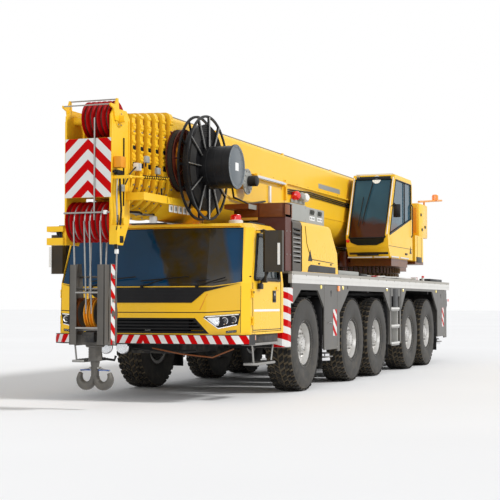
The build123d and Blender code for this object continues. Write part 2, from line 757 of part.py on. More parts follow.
with BuildPart() as superstructure:
    rod_up(slew_x, 0, ring_radius, (ring_bottom, ring_top))
    block(platform_x, (-pivot_plate_half_width, pivot_plate_half_width), (ring_top, platform_top))
    for side_name, side in sides:
        y = sorted((side * side_plate_y, side * (side_plate_y + side_plate_thickness)))
        side_slab(side_plate, y)
        side_slab([(luff_base_x - 220, platform_top - 10), (luff_base_x - 80, luff_lug_top),
                   (luff_base_x + 80, luff_lug_top), (luff_base_x + 220, platform_top - 10)],
                  sorted((side * luff_lug_y[0], side * luff_lug_y[1])))
    rod_across(luff_base_x, luff_base_z, luff_pin_radius, (-luff_pin_half_length, luff_pin_half_length))
    rod_across(pivot_x, pivot_z, pivot_pin_radius, (-pivot_plate_half_width, pivot_plate_half_width))
    block(cab_shelf_x, (pivot_plate_half_width, cab_shelf_outer_y), (ring_top, cab_floor - slide_gap))
    rod_across(cab_hinge_x, cab_hinge_z, cab_hinge_radius, (pivot_plate_half_width, cab_shelf_outer_y - 50))
    for x, y, z in cabinets + grab_rail:
        block(x, y, z)
    for side_name, side in sides:
        rod_up(drive_x, side * drive_y, pinion_radius, (gear_bottom + 20, ring_top + 5))
        rod_up(drive_x, side * drive_y, drive_radius, (ring_top, drive_top))
    rod_across(winch_x, winch_z, winch_drum_radius, (-side_plate_y, side_plate_y))
    for flange_y in winch_flange_places:
        rod_across(winch_x, winch_z, winch_radius, (flange_y, flange_y + winch_flange_width))
keep(superstructure.part, "superstructure")

# Crane cab: hollow cabin that tips back on a cross shaft under its rear edge
cab_y = (565, 1425)
cab_skin = 45
cabin_outline = [(-4130, cab_floor), (-4130, 3000), (-4110, 3850), (-4010, 3960), (-2640, 3960),
                 (-2060, 2700), (-2100, 2480), (-2260, cab_floor)]
side_window = [(-2350, 2560), (-2190, 2730), (-2700, 3860), (-4000, 3860), (-4010, 3000), (-3200, 2560)]
with BuildPart() as crane_cab:
    side_slab(cabin_outline, cab_y)
    side_slab(cabin_outline, (cab_y[0] + cab_skin, cab_y[1] - cab_skin), Mode.SUBTRACT, -cab_skin)
    side_slab(side_window, (cab_y[0] - 5, cab_y[1] + 5), Mode.SUBTRACT)
    cross_slab([(cab_y[0] + 60, 2640), (cab_y[0] + 60, 3860), (cab_y[1] - 60, 3860), (cab_y[1] - 60, 2640)],
               (-2750, -1900), Mode.SUBTRACT)
    for eye_y in (690, 1250):
        block((cab_hinge_x - 40, cab_hinge_x + 40), (eye_y, eye_y + 40), (cab_hinge_z, cab_floor + 10))
        rod_across(cab_hinge_x, cab_hinge_z, 45, (eye_y, eye_y + 40))
        rod_across(cab_hinge_x, cab_hinge_z, cab_hinge_radius + running_gap, (eye_y, eye_y + 40),
                   Mode.SUBTRACT)
keep(crane_cab.part, "crane_cab_shell")

glass_skin, glass_inset = 10, 15
with BuildPart() as crane_glass:
    side_slab(cabin_outline, (cab_y[0] + glass_inset, cab_y[1] - glass_inset), Mode.ADD, -glass_inset)
    inner = glass_inset + glass_skin
    side_slab(cabin_outline, (cab_y[0] + inner, cab_y[1] - inner), Mode.SUBTRACT, -inner)
    side_slab(side_window, (cab_y[0] - 5, cab_y[1] + 5), Mode.INTERSECT, -slide_gap)
keep(crane_glass.part, "crane_cab_windows")

# Luffing cylinder
barrel_front = -80
barrel_gland = 130
luff_eye_radius = 118
eye_half_width = luff_lug_y[0] - moving_gap
with BuildPart() as barrel:
    rod_along(0, luff_base_z, barrel_radius, (luff_base_x + 250, barrel_front))
    block((luff_base_x + 60, luff_base_x + 260), (-100, 100), (luff_base_z - 90, luff_base_z + 90))
    rod_across(luff_base_x, luff_base_z, luff_eye_radius, (-eye_half_width, eye_half_width))
    rod_across(luff_base_x, luff_base_z, luff_pin_radius + running_gap, (-130, 130), Mode.SUBTRACT)
    gland_rear = barrel_front - barrel_gland
    rod_along(0, luff_base_z, rod_radius + 20, (luff_base_x + 290, gland_rear + 10), Mode.SUBTRACT)
    rod_along(0, luff_base_z, rod_radius + running_gap, (gland_rear, barrel_front), Mode.SUBTRACT)
keep(barrel.part, "luffing_cylinder_barrel")

with BuildPart() as rod:
    rod_along(0, luff_eye_z, rod_radius, (luff_base_x + 320, luff_eye_x))
    rod_across(luff_eye_x, luff_eye_z, luff_eye_radius, (-eye_half_width, eye_half_width))
keep(rod.part, "luffing_cylinder_rod")

# Boom sections: flat sides and top on a round bottom, each nested in the one before
bottom_centre = boom_bottom + boom_half_width
pad_z = (3250, 3500)
collar_lug_pitch = 190
seam_rib = (2990, 3020)


def section_size(number):
    """Half width and top of a section, the base being number 0."""
    return boom_half_width - number * section_inset, boom_top - number * section_step_top


def section_solid(half, top, x, mode=Mode.ADD):
    """A length of the boom's cross-section, between a rear and a front x."""
    with BuildSketch(front_plane(x[0])) as profile:
        with Locations((0, (top + bottom_centre) / 2)):
            Rectangle(2 * half, top - bottom_centre)
        with Locations((0, bottom_centre)):
            Circle(half)
        fillet(profile.vertices().group_by(Axis.Y)[-1], boom_corner)
    extrude(profile.sketch, amount=x[1] - x[0], mode=mode)


def collar(number, front):
    """The stiff rim at a section's mouth, outside the bore for the next section."""
    half, top = section_size(number)
    section_solid(half + collar_rise, top + collar_rise, (front - collar_length, front))
    for side_name, side in sides:
        for lug_z in range(bottom_centre + 100, int(top) - 60, collar_lug_pitch):
            rod_along(side * (half + collar_rise - 24), lug_z, 38, (front - collar_length + 15, front - 15))


def collar_bore(number, front):
    """Opens a section's mouth round the next section, and leaves a slide pad on each side."""
    half, top = section_size(number + 1)
    section_solid(half + moving_gap, top + moving_gap, (front - collar_length - 1, front + 1), Mode.SUBTRACT)
    for side_name, side in sides:
        block((front - collar_length + 10, front - 10),
              sorted((side * (half + slide_gap), side * (half + moving_gap + 2))), pad_z)


reel_x, reel_y, reel_z = 5700, 780, 3255
reel_shaft_radius = 60
hose_reel_x, hose_reel_z = 5960, 3340
hose_reel_radius, hose_hub_radius = 430, 240
motor_x, motor_z = 4260, 3300
with BuildPart() as base:
    half, top = section_size(0)
    section_solid(half, top, (base_rear, base_front))
    collar(0, base_front)
    for side_name, side in sides:
        side_slab([(base_rear + 300, 2750), (base_rear + 300, 3800), (-6120, 3290), (-6300, 3330),
                   (-6500, 3230), (-6530, 3100), (-6480, 2930), (-6300, 2870), (-6100, 2860)],
                  sorted((side * 380, side * half)))
        side_slab([(0, 2750), (420, 2750), (300, 2250), (100, 2250)],
                  sorted((side * luff_lug_y[0], side * luff_lug_y[1])))
        rod_across(luff_eye_x, luff_eye_z, 90, sorted((side * luff_lug_y[1], side * 200)))
    section_solid(half - boom_wall, top - boom_wall, (base_rear + boom_wall, base_front - collar_length),
                  Mode.SUBTRACT)
    collar_bore(0, base_front)
    rod_across(pivot_x, pivot_z, pivot_pin_radius + running_gap, (-500, 500), Mode.SUBTRACT)
    rod_across(reel_x, reel_z, reel_shaft_radius, (half - 8, reel_y + 180))
    rod_across(reel_x, reel_z, 150, (half - 8, half + 60))
    for disc_y in (half + 45, half + 145):
        rod_across(hose_reel_x, hose_reel_z, hose_reel_radius, (disc_y, disc_y + 18))
    rod_across(hose_reel_x, hose_reel_z, hose_hub_radius, (half - 8, half + 150))
    rod_across(motor_x, motor_z, 110, (half - 8, half + 300))
    rod_across(motor_x, motor_z, 150, (half + 300, half + 325))
    block((-4500, 4050), (half - 8, half + 40), (3445, 3475))
    for side_name, side in sides:
        block((base_rear + 200, base_front - collar_length + 5),
              sorted((side * (half - 8), side * (half + 10))), seam_rib)
keep(base.part, "boom_base_section")

for number in range(1, section_count + 1):
    half, top = section_size(number)
    front = base_front + number * collar_pitch
    end = head_rear if number == section_count else front
    with BuildPart() as section:
        section_solid(half, top, (section_rear + number * 40, end))
        if number < section_count:
            collar(number, front)
        wall_end = front - collar_length if number < section_count else end + 1
        section_solid(half - boom_wall, top - boom_wall, (section_rear + number * 40 - 1, wall_end),
                      Mode.SUBTRACT)
        if number < section_count:
            collar_bore(number, front)
    keep(section.part, f"boom_section_{number}")

# Boom head: side plates, front plate, hose guide beam and lugs, with two stacks of sheaves
guide_y, guide_z, guide_width = 535, (2700, 2800), 55
front_plate_z = (2710, head_top - 390)
head_shoulder = head_top - 100
fork_reach = 560
fork_arms = ((2110, 2200), (2280, 2350))
head_rails = [  # x, z of the round rails over the head
    (7680, head_top + 30),
    (7500, head_top + 116),
]
rail_radius = 9
head_outline = [(head_rear, 2420), (head_rear, head_shoulder), (head_rear + 100, head_top), (7560, head_top),
                (head_front, head_shoulder), (head_front, head_bottom), (7300, head_bottom)]
rail_post = [(7440, head_top - 160), (7480, head_top + 126), (7520, head_top + 126), (7560, head_top + 40),
             (7695, head_top + 40), (7695, head_top + 10), (7600, head_top - 20), (7560, head_top - 160)]
with BuildPart() as head:
    for side_name, side in sides:
        side_slab(head_outline, sorted((side * (head_half_width - head_side), side * head_half_width)))
    block((head_rear, head_rear + 25), (-head_half_width, head_half_width), (2740, head_shoulder))
    block((head_front - 20, head_front), (-head_half_width, head_half_width), front_plate_z)
    for shaft_z in (lower_sheave_z, upper_sheave_z):
        rod_across(sheave_x, shaft_z, sheave_shaft_radius, (-shaft_shoulder_y, shaft_shoulder_y))
        rod_across(sheave_x, shaft_z, jib_pin_radius, (-shaft_end_y, shaft_end_y))
    block((6480, 7220), (guide_y, guide_y + guide_width), guide_z)
    block((7140, 7220), (head_half_width - 5, guide_y + guide_width), guide_z)
    for arm_z in fork_arms:
        block((7560, nose_x), (-fork_reach, -head_half_width + 5), arm_z)
    for side_name, side in sides:
        block((7560, head_front), sorted((side * (head_half_width - 5), side * 420)),
              (fork_arms[0][0], fork_arms[1][1]))
    for rail_x, rail_z in head_rails:
        rod_across(rail_x, rail_z, rail_radius, (-head_half_width - 15, head_half_width + 15))
    for side_name, side in sides:
        side_slab(rail_post, sorted((side * head_half_width, side * (head_half_width + 20))))
keep(head.part, "boom_head")


def sheave_stack(z, radius, count, pitch, middle):
    """Sheaves side by side on one shaft, with a groove in each rim."""
    ends = (middle - count * pitch / 2, middle + count * pitch / 2)
    bore = sheave_shaft_radius + running_gap
    points = [(bore, ends[0]), (radius, ends[0])]
    for number in range(count):
        low = ends[0] + number * pitch
        points += [(radius, low + 9), (radius - sheave_groove_depth, low + pitch / 2 - 12),
                   (radius - sheave_groove_depth, low + pitch / 2 + 12), (radius, low + pitch - 9)]
    points += [(radius, ends[1]), (bore, ends[1])]
    centre = (sheave_x, 0, z)
    with BuildSketch(Plane(origin=centre, x_dir=(1, 0, 0), z_dir=(0, 0, 1))) as outline:
        with BuildLine():
            Polyline(*points, close=True)
        make_face()
    revolve(outline.sketch, axis=Axis(centre, (0, 1, 0)))


lower_pitch, upper_pitch = 76, 76
with BuildPart() as sheaves:
    sheave_stack(lower_sheave_z, lower_sheave_radius, 8, lower_pitch, 0)
    sheave_stack(upper_sheave_z, upper_sheave_radius, 5, upper_pitch, 100)
keep(sheaves.part, "head_sheaves")

# Hook block on its rope falls, and the two-armed hook that swivels in it
block_half_depth = 120
block_plate_y = (230, 250)
block_bars, block_bar_radius = (860, 1400, 1700), 14
crosshead_z = (830, 960)
shank_radius = 60
hook_nut_radius, hook_collar_radius = 90, 85
fall_lean = 70
fall_slots = (1, 3, 4, 6)
fall_x = lower_sheave_radius - sheave_groove_depth + rope_radius + slide_gap
with BuildPart() as falls:
    for number in fall_slots:
        y = (number + 0.5 - 4) * lower_pitch
        for direction in (-1, 1):
            top = (sheave_x + direction * fall_x, y, lower_sheave_z)
            foot = (sheave_x + direction * (fall_x - fall_lean), y, block_z)
            along = Vector(*top) - Vector(*foot)
            with BuildSketch(Plane(origin=foot, z_dir=along)) as rope:
                Circle(rope_radius)
            extrude(rope.sketch, amount=along.length)
keep(falls.part, "hoist_rope_falls")

with BuildPart() as hook_block:
    for side_name, side in sides:
        side_slab([(sheave_x - 90, 820), (sheave_x - block_half_depth, 900),
                   (sheave_x - block_half_depth, 1400), (sheave_x - 50, 1870), (sheave_x + 50, 1870),
                   (sheave_x + block_half_depth, 1400), (sheave_x + block_half_depth, 900),
                   (sheave_x + 90, 820)], sorted((side * block_plate_y[0], side * block_plate_y[1])))
    for bar_z in block_bars:
        rod_across(sheave_x, bar_z, block_bar_radius, (-240, 240))
    rod_across(sheave_x, block_z, 40, (-260, 260))
    for number in fall_slots:
        y = (number + 0.5 - 4) * lower_pitch
        rod_across(sheave_x, block_z, fall_x - fall_lean - rope_radius, (y - 25, y + 25))
    block((sheave_x - 110, sheave_x + 110), (-block_plate_y[0] - 1, block_plate_y[0] + 1), crosshead_z)
    rod_up(sheave_x, 0, shank_radius + running_gap, (crosshead_z[0] - 1, crosshead_z[1] + 1), Mode.SUBTRACT)
keep(hook_block.part, "hook_block")

horn_y, horn_z = 122, 425
horn_middle_radius = 108
horn_half_width, horn_half_depth = 38, 54
horn_arc = 208
horn_corner = 23
with BuildPart() as hook:
    for side_name, side in sides:
        centre = (sheave_x, side * horn_y, horn_z)
        with BuildSketch(Plane(origin=centre, x_dir=(0, -side, 0), z_dir=(0, 0, 1))) as horn:
            with Locations((horn_middle_radius, 0)):
                RectangleRounded(2 * horn_half_width, 2 * horn_half_depth, horn_corner)
        revolve(horn.sketch, axis=Axis(centre, (side, 0, 0)), revolution_arc=horn_arc)
    rod_up(sheave_x, 0, shank_radius - 8, (horn_z - 10, 640))
    rod_up(sheave_x, 0, hook_collar_radius, (620, crosshead_z[0] - slide_gap))
    rod_up(sheave_x, 0, shank_radius, (620, crosshead_z[1] + 40))
    rod_up(sheave_x, 0, hook_nut_radius, (crosshead_z[1] + slide_gap, crosshead_z[1] + 40))
keep(hook.part, "ramshorn_hook")

# Cable reel beside the boom's front
reel_radius = 735
reel_rim_depth, reel_disc_width = 35, 20
reel_winding_radius, reel_half_width = 600, 80
drum_case_radius, drum_case_end = 295, 1280
spoke_count, spoke_width, spoke_root = 12, 30, 200
with BuildPart() as reel:
    for disc_y in (reel_y - reel_half_width, reel_y + reel_half_width - reel_disc_width):
        disc_sides = (disc_y, disc_y + reel_disc_width)
        rod_across(reel_x, reel_z, reel_radius, disc_sides)
        rod_across(reel_x, reel_z, reel_radius - reel_rim_depth, disc_sides, Mode.SUBTRACT)
        spoke_length = reel_radius - reel_rim_depth / 2 - spoke_root
        for spoke_number in range(spoke_count):
            with BuildSketch(side_plane(disc_sides[1])) as spoke:
                with Locations(Location((reel_x, reel_z), 360 / spoke_count * spoke_number)):
                    with Locations((spoke_root + spoke_length / 2, 0)):
                        Rectangle(spoke_length, spoke_width)
            extrude(spoke.sketch, amount=reel_disc_width)
    winding = reel_half_width - reel_disc_width
    rod_across(reel_x, reel_z, reel_winding_radius, (reel_y - winding, reel_y + winding))
    rod_across(reel_x, reel_z, drum_case_radius, (reel_y - reel_half_width, drum_case_end - 15))
    rod_across(reel_x, reel_z, drum_case_radius + 15, (drum_case_end - 25, drum_case_end))
    rod_across(reel_x, reel_z, reel_shaft_radius + running_gap, (reel_y - 90, reel_y + 190), Mode.SUBTRACT)
keep(reel.part, "cable_reel")
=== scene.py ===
import bpy
import bmesh
import math
from mathutils import Matrix, Vector


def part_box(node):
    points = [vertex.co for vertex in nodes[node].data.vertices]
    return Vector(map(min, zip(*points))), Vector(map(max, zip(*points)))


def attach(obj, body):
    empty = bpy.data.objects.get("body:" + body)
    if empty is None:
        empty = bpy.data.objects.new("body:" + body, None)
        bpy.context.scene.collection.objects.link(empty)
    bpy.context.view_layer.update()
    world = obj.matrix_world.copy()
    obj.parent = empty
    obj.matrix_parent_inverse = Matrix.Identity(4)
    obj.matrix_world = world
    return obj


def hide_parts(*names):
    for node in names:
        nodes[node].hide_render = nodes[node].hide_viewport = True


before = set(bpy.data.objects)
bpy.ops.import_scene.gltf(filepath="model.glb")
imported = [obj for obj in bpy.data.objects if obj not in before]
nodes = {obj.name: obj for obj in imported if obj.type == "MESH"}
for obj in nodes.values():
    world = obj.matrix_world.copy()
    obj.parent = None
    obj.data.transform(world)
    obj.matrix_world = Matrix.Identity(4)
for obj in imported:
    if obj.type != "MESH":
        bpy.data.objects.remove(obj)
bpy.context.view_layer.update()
SIDES = (("left", 1), ("right", -1))

# Materials, all worked out by nodes from the object's own coordinates
WEATHER = (0.3, 0.26, 0.2)


class Shade:
    """A small hand for writing shader node trees."""

    def __init__(self, name):
        self.material = bpy.data.materials.new(name)
        self.material.use_nodes = True
        self.tree = self.material.node_tree
        self.shader = self.tree.nodes["Principled BSDF"]
        self.place = self.node("ShaderNodeTexCoord", {}).outputs["Object"]

    def node(self, kind, feeds, **values):
        """A new node with its settings; feeds holds its inputs by index or name."""
        made = self.tree.nodes.new(kind)
        for key, value in values.items():
            setattr(made, key, value)
        for key, value in feeds.items():
            self.feed(made.inputs[key], value)
        return made

    def feed(self, socket, value):
        if isinstance(value, bpy.types.NodeSocket):
            self.tree.links.new(value, socket)
        else:
            socket.default_value = value

    def math(self, operation, first, second=0.0):
        return self.node("ShaderNodeMath", {0: first, 1: second}, operation=operation).outputs[0]

    def axes(self):
        return self.node("ShaderNodeSeparateXYZ", {0: self.place}).outputs

    def noise(self, scale, detail=4.0, rough=0.55, stretch=None):
        source = self.place
        if stretch:
            source = self.node("ShaderNodeMapping", {"Vector": source, "Scale": stretch}).outputs[0]
        feeds = {"Vector": source, "Scale": scale, "Detail": detail, "Roughness": rough}
        return self.node("ShaderNodeTexNoise", feeds).outputs["Fac"]

    def inside(self, axes, ranges):
        """One where every axis lies within its range."""
        answer = 1.0
        for value, (low, high) in zip(axes, ranges):
            feeds = {0: value, 1: (low + high) / 2, 2: (high - low) / 2}
            within = self.node("ShaderNodeMath", feeds, operation="COMPARE").outputs[0]
            answer = self.math("MULTIPLY", within, answer)
        return answer

    def span(self, value, low, high, to_low=0.0, to_high=1.0):
        feeds = {"Value": value, "From Min": low, "From Max": high, "To Min": to_low, "To Max": to_high}
        return self.node("ShaderNodeMapRange", feeds).outputs[0]

    def mix(self, amount, first, second, blend="MIX"):
        first, second = [(*value, 1.0) if isinstance(value, tuple) else value for value in (first, second)]
        feeds = {0: amount, 6: first, 7: second}
        return self.node("ShaderNodeMix", feeds, data_type="RGBA", blend_type=blend).outputs[2]

    def bump(self, height, strength, distance):
        feeds = {"Strength": strength, "Distance": distance, "Height": height}
        self.feed(self.shader.inputs["Normal"], self.node("ShaderNodeBump", feeds).outputs[0])

    def set(self, **values):
        for key, value in values.items():
            self.feed(self.shader.inputs[key.replace("_", " ")], value)


def scaled(colour, factor):
    return tuple(min(1.0, channel * factor) for channel in colour)


def finish(name, colour, rough=0.3, metal=0.0, coat=0.12, spread=0.035, patch=0.9, dust=0.05, dust_top=1.3,
           grain=0.04, grain_scale=260.0, stretch=None, ior=1.32, zones=()):
    """A worn solid colour: broad patches, fine mottling, dust that thickens towards the ground."""
    s = Shade(name)
    broad = s.span(s.noise(patch, 3.0), 0.3, 0.7)
    base = colour
    for other, *ranges in zones:
        base = s.mix(s.inside(s.axes(), ranges), base, other)
    base = s.mix(s.math("MULTIPLY", broad, spread * 2), base, scaled(colour, 1 - spread * 4))
    height = s.axes()[2]
    low = s.span(height, 0.0, dust_top, 1.0, 0.12)
    blotch = s.span(s.noise(7.0, 8.0, 0.7), 0.45, 0.75)
    base = s.mix(s.math("MULTIPLY", s.math("MULTIPLY", low, blotch), dust * 2), base, WEATHER)
    wear = s.math("ADD", s.math("MULTIPLY", broad, 0.5), s.math("MULTIPLY", blotch, 0.5))
    s.set(Base_Color=base, Metallic=metal, IOR=ior, Coat_Weight=coat, Coat_Roughness=0.08,
          Roughness=s.span(wear, 0.0, 1.0, rough - 0.05, rough + 0.12))
    if grain:
        s.bump(s.noise(grain_scale, 3.0, 0.6, stretch), grain, 0.001)
    return s


def stripes(name, pitch, weights, offset=0.0, rough=0.3):
    """Bands of two colours by a weighted sum of the axes; y counts from the middle to both sides."""
    s = Shade(name)
    x, y, z = s.axes()
    along = 0.0
    for value, weight in ((x, weights[0]), (s.math("ABSOLUTE", y), weights[1]), (z, weights[2])):
        along = s.math("ADD", s.math("MULTIPLY", value, weight), along)
    wave = s.math("FRACT", s.math("DIVIDE", s.math("ADD", along, 50.0 + offset), pitch))
    band = s.math("GREATER_THAN", wave, 0.5)
    cells = s.noise(900.0, 1.0)
    worn = s.span(s.noise(9.0, 7.0, 0.7), 0.3, 0.8, 0.94, 1.05)
    tone = s.mix(1.0, s.mix(band, *STRIPE_COLOURS), worn, "MULTIPLY")
    s.set(Base_Color=tone, Roughness=s.span(cells, 0.3, 0.7, rough, rough + 0.2), IOR=1.15)
    s.bump(cells, 0.15, 0.0005)
    return s


def tinted_glass(name, colour, rough=0.02, clearness=0.9, second=None, foot=None):
    """Glass; a second colour lies across a wide screen's left half and a foot colour below a height, both
    painted reflections.
    """
    s = Shade(name)
    smear = s.span(s.noise(3.0, 6.0, 0.7), 0.35, 0.8, rough, rough + 0.05)
    tone = s.mix(s.span(s.noise(1.3, 2.0), 0.3, 0.7), scaled(colour, 0.85), scaled(colour, 1.15))
    # The second colour is a painted reflection: a band between two slanted lines across the screen
    if second:
        _, y, z = s.axes()
        drift = s.span(s.noise(2.5), 0, 1, -0.08, 0.08)
        start = s.math("ADD", s.math("ADD", y, s.math("MULTIPLY", z, 0.48)), drift)
        end = s.math("ADD", s.math("ADD", y, s.math("MULTIPLY", z, 0.29)), drift)
        middle = s.math("MULTIPLY", s.span(start, 1.11, 1.16), s.span(end, 1.72, 1.8, 1.0, 0.0))
        tone = s.mix(s.math("MULTIPLY", middle, s.span(s.noise(5.0, 6.0), 0.3, 0.7, 0.65, 1.0)), tone,
                     second)
    # The foot colour is a painted reflection below a slanted, wavering line
    if foot:
        _, y, z = s.axes()
        edge = s.math("ADD", z, s.math("MULTIPLY", y, 0.3))
        edge = s.math("ADD", edge, s.span(s.noise(3.5, 3.0), 0, 1, -0.15, 0.15))
        tone = s.mix(s.span(edge, foot[1] - 0.1, foot[1] + 0.05, 1.0, 0.0), tone, foot[0])
    s.set(Base_Color=tone, Roughness=smear, IOR=1.3, Transmission_Weight=clearness)
    return s


def glowing(name, colour, strength=0.6):
    s = Shade(name)
    cells = s.node("ShaderNodeTexVoronoi", {"Vector": s.place, "Scale": 70.0}).outputs["Distance"]
    tone = s.mix(s.span(cells, 0.0, 0.7), scaled(colour, 1.1), scaled(colour, 0.6))
    s.set(Base_Color=tone, Roughness=0.12, IOR=1.49, Coat_Weight=0.8, Emission_Color=tone,
          Emission_Strength=strength)
    return s


YELLOW = (0.91, 0.535, 0.02)
DARK_RED = (0.085, 0.01, 0.004)
BROWN = (0.2, 0.055, 0.01)
DARK = (0.007, 0.007, 0.008)
INSIDE = (0.02, 0.02, 0.022)
COWL = (0.33, 0.335, 0.31)
STRIPE_COLOURS = (0.7, 0.7, 0.68), (0.52, 0.001, 0.002)
EVERY = (-99.0, 99.0)
# For each finish: its material's name, colour, roughness, metal, coat, spread of the patches and their
# scale, dust and its height, grain and its scale, stretch of the grain, refraction
PAINTS = {
    "yellow": ("machine_yellow", YELLOW),
    "door": ("door_yellow", YELLOW),
    "cab": ("cab_yellow", YELLOW),
    "crane_cab": ("crane_cab_yellow", YELLOW),
    "upper": ("upper_yellow", YELLOW, 0.3, 0, 0.12, 0.05),
    "hood": ("hood_yellow", YELLOW),
    "boom_yellow": ("boom_yellow", YELLOW, 0.34, 0, 0.1, 0.045, 0.6, 0.04, 1.3, 0.05),
    "head_yellow": ("head_yellow", YELLOW, 0.34, 0, 0.1, 0.045, 0.6, 0.04, 1.3, 0.05),
    "orange": ("shaded_orange", (0.78, 0.3, 0.012), 0.4, 0, 0.1, 0.08, 2, 0.1, 1.3, 0.05),
    "skirt": ("panel_grey", (0.112, 0.108, 0.1), 0.42, 0, 0.05, 0.06, 1.4, 0.22, 1.6, 0.05),
    "rail": ("deck_aluminium", (0.66, 0.65, 0.62), 0.4, 0.1, 0, 0.05, 2.2, 0.12, 2.2, 0.1, 300, (1, 12, 12)),
    "chassis": ("chassis_grey", (0.022, 0.022, 0.023), 0.5, 0, 0.02, 0.15, 2, 0.3, 1.6, 0.1),
    "black": ("black_plastic", DARK, 0.38, 0, 0.02, 0.2, 3, 0.06, 1.2, 0.12, 420, None, 1.28),
    "gloss": ("black_gloss", (0.006, 0.012, 0.016), 0.12, 0, 0.1, 0.2, 3, 0.03, 1.2, 0.02, 420),
    "cowl": ("cowl_grey", COWL, 0.42, 0.15, 0.05, 0.05, 2.2, 0.08, 2, 0.06),
    "cowl_zones": ("cowl_paints", COWL, 0.42, 0.1, 0.05, 0.05, 2.2, 0.08, 2, 0.06),
    "red": ("sheave_red", (0.36, 0.002, 0.003), 0.38, 0, 0, 0.12, 4, 0.06, 2, 0.06, 260, None, 1.15),
    "dark_red": ("dark_red", DARK_RED, 0.45, 0, 0.05, 0.2, 3, 0.1, 2, 0.06),
    "steel": ("wire_steel", (0.36, 0.355, 0.34), 0.4, 0.8, 0, 0.12, 8, 0.1, 2, 0.3, 240, (1, 1, 0.3)),
    "hook_grey": ("hook_grey", (0.115, 0.108, 0.098), 0.48, 0.2, 0, 0.12, 5, 0.15, 1.5, 0.25, 90),
    "trim": ("cab_trim", (0.018, 0.018, 0.021), 0.6, 0, 0, 0.15, 5, 0, 1, 0.3, 300, None, 1.3),
    "chrome": ("chromed_rod", (0.78, 0.78, 0.8), 0.12, 1, 0, 0.03, 3, 0.03, 2, 0.02, 500),
    "engine": ("cast_engine", (0.09, 0.09, 0.09), 0.6, 0.3, 0, 0.15, 5, 0.2, 2, 0.3, 120),
    "rubber": ("tyre_rubber", (0.016, 0.015, 0.014), 0.66, 0, 0, 0.15, 5, 0.1, 1.6, 0.35, 150, None, 1.3),
    "wall": ("tyre_wall", (0.05, 0.048, 0.045), 0.62, 0, 0, 0.1, 4, 0.14, 1.6, 0.25, 120, None, 1.3),
    "groove": ("tyre_groove", (0.15, 0.118, 0.075), 0.8, 0, 0, 0.2, 9, 0.2, 1.6, 0.35, 90, None, 1.3),
    "rim": ("rim_silver", (0.62, 0.61, 0.59), 0.36, 0.45, 0.1, 0.06, 7, 0.25, 1.4, 0.08, 200),
    "white": ("white_paint", (0.82, 0.82, 0.8), 0.35, 0, 0.1, 0.03, 4, 0.05, 2, 0.05),
    "brown": ("primer_brown", BROWN, 0.5, 0, 0.1, 0.15, 3, 0.1, 2, 0.08),
    "blue": ("latch_blue", (0.02, 0.09, 0.35), 0.4, 0, 0.2, 0.08, 6, 0.05, 1, 0.05),
    "reel_disc": ("reel_end_blue_grey", (0.135, 0.155, 0.17), 0.38, 0.2, 0.1, 0.05, 5, 0.05, 2, 0.05),
    "ring": ("greased_teeth", (0.13, 0.075, 0.03), 0.45, 0.5, 0, 0.25, 12, 0.1, 2, 0.3, 80),
    "mirror": ("mirror_face", (0.8, 0.82, 0.85), 0.06, 1, 0, 0.01, 3, 0, 1, 0),
}
# Boxes of x, y and z in which a finish has another colour
ZONES = {
    "door": [(DARK, (5.0, 5.7), (1.508, 2.0), (1.5, 2.6)), (DARK, (5.0, 5.7), (-2.0, -1.508), (1.5, 2.6))],
    "cab": [(INSIDE, (4.37, 5.6), (-1.435, 1.435), (0.9, 1.66)),
            (INSIDE, (4.37, 5.38), (-1.435, 1.435), (1.64, 2.42))],
    "crane_cab": [(INSIDE, (-4.097, -2.66), (0.595, 1.395), (2.3, 3.84)),
                  ((0.03, 0.03, 0.032), (-4.0, -2.7), (0.595, 1.395), (3.8, 3.93)),
                  (INSIDE, (-2.7, -2.18), (0.595, 1.395), (2.33, 2.8))],
    # Upper works dark red low down and between the side plates under the boom: partly the parts' own colour,
    # partly painted shade
    "upper": [(DARK_RED, EVERY, EVERY, (0, 2.262)), (DARK_RED, (-5.0, 0), (-0.56, 0.56), (0, 2.64))],
    "hood": [(DARK, (3.4, 3.9), EVERY, EVERY)],
    "boom_yellow": [(DARK_RED, (5.5, 6.42), (0.506, 0.64), (2.9, 3.8)),
                    (DARK, (4.05, 4.45), (0.505, 0.8), (3.1, 3.5)),
                    # Dark orange bands on the sections between the collars: painted shade between the parts
                    *[((0.42, 0.13, 0.006), (6.236 + 0.17 * k, 6.312 + 0.17 * k), EVERY, EVERY)
                      for k in range(6)]],
    "head_yellow": [((0.3, 0.3, 0.29), EVERY, (-0.329, 0.329), (3.868, 4.0))],
    "rail": [((0.34, 0.32, 0.28), EVERY, EVERY, (1.8, 1.86))],
    "cowl_zones": [(BROWN, (2.47, 4.49), (0.58, 0.978), (2.76, 2.85)),
                   (DARK_RED, (3.836, 4.13), EVERY, (1.8, 2.71))],
}
GLASSES = {
    # The windscreen's brown second colour and the crane cab glass's brown foot are painted reflections
    "screen": ("windscreen_glass", (0.001, 0.045, 0.115), 0.03, 0.15, (0.05, 0.031, 0.003)),
    "pane": ("side_glass", (0.13, 0.155, 0.16), 0.03, 0.6),
    "crane_pane": ("crane_cab_glass", (0.036, 0.105, 0.15), 0.03, 0.22, None, ((0.085, 0.022, 0.006), 3.36)),
    "clear": ("lens_glass", (0.85, 0.87, 0.88)),
}
LAMPS = {"lamp_white": ((0.9, 0.88, 0.8), 0.4), "lamp_orange": ((0.95, 0.25, 0.02), 0.5),
         "lamp_red": ((0.75, 0.01, 0.01), 0.4), "lamp_yellow": ((0.95, 0.75, 0.15), 0.5)}
STRIPES = {
    "chevron": ("chevron_sheet", 0.265, (0, 0.95, 1), 0.065),
    "tape": ("hazard_tape", 0.178, (0, 1, 0.55)),
    "side_tape": ("side_hazard", 0.21, (-0.8, 0, 1)),
    "fender_stripe": ("fender_stripes", 0.205, (-0.18, 0.18, 1)),
}
materials = {}


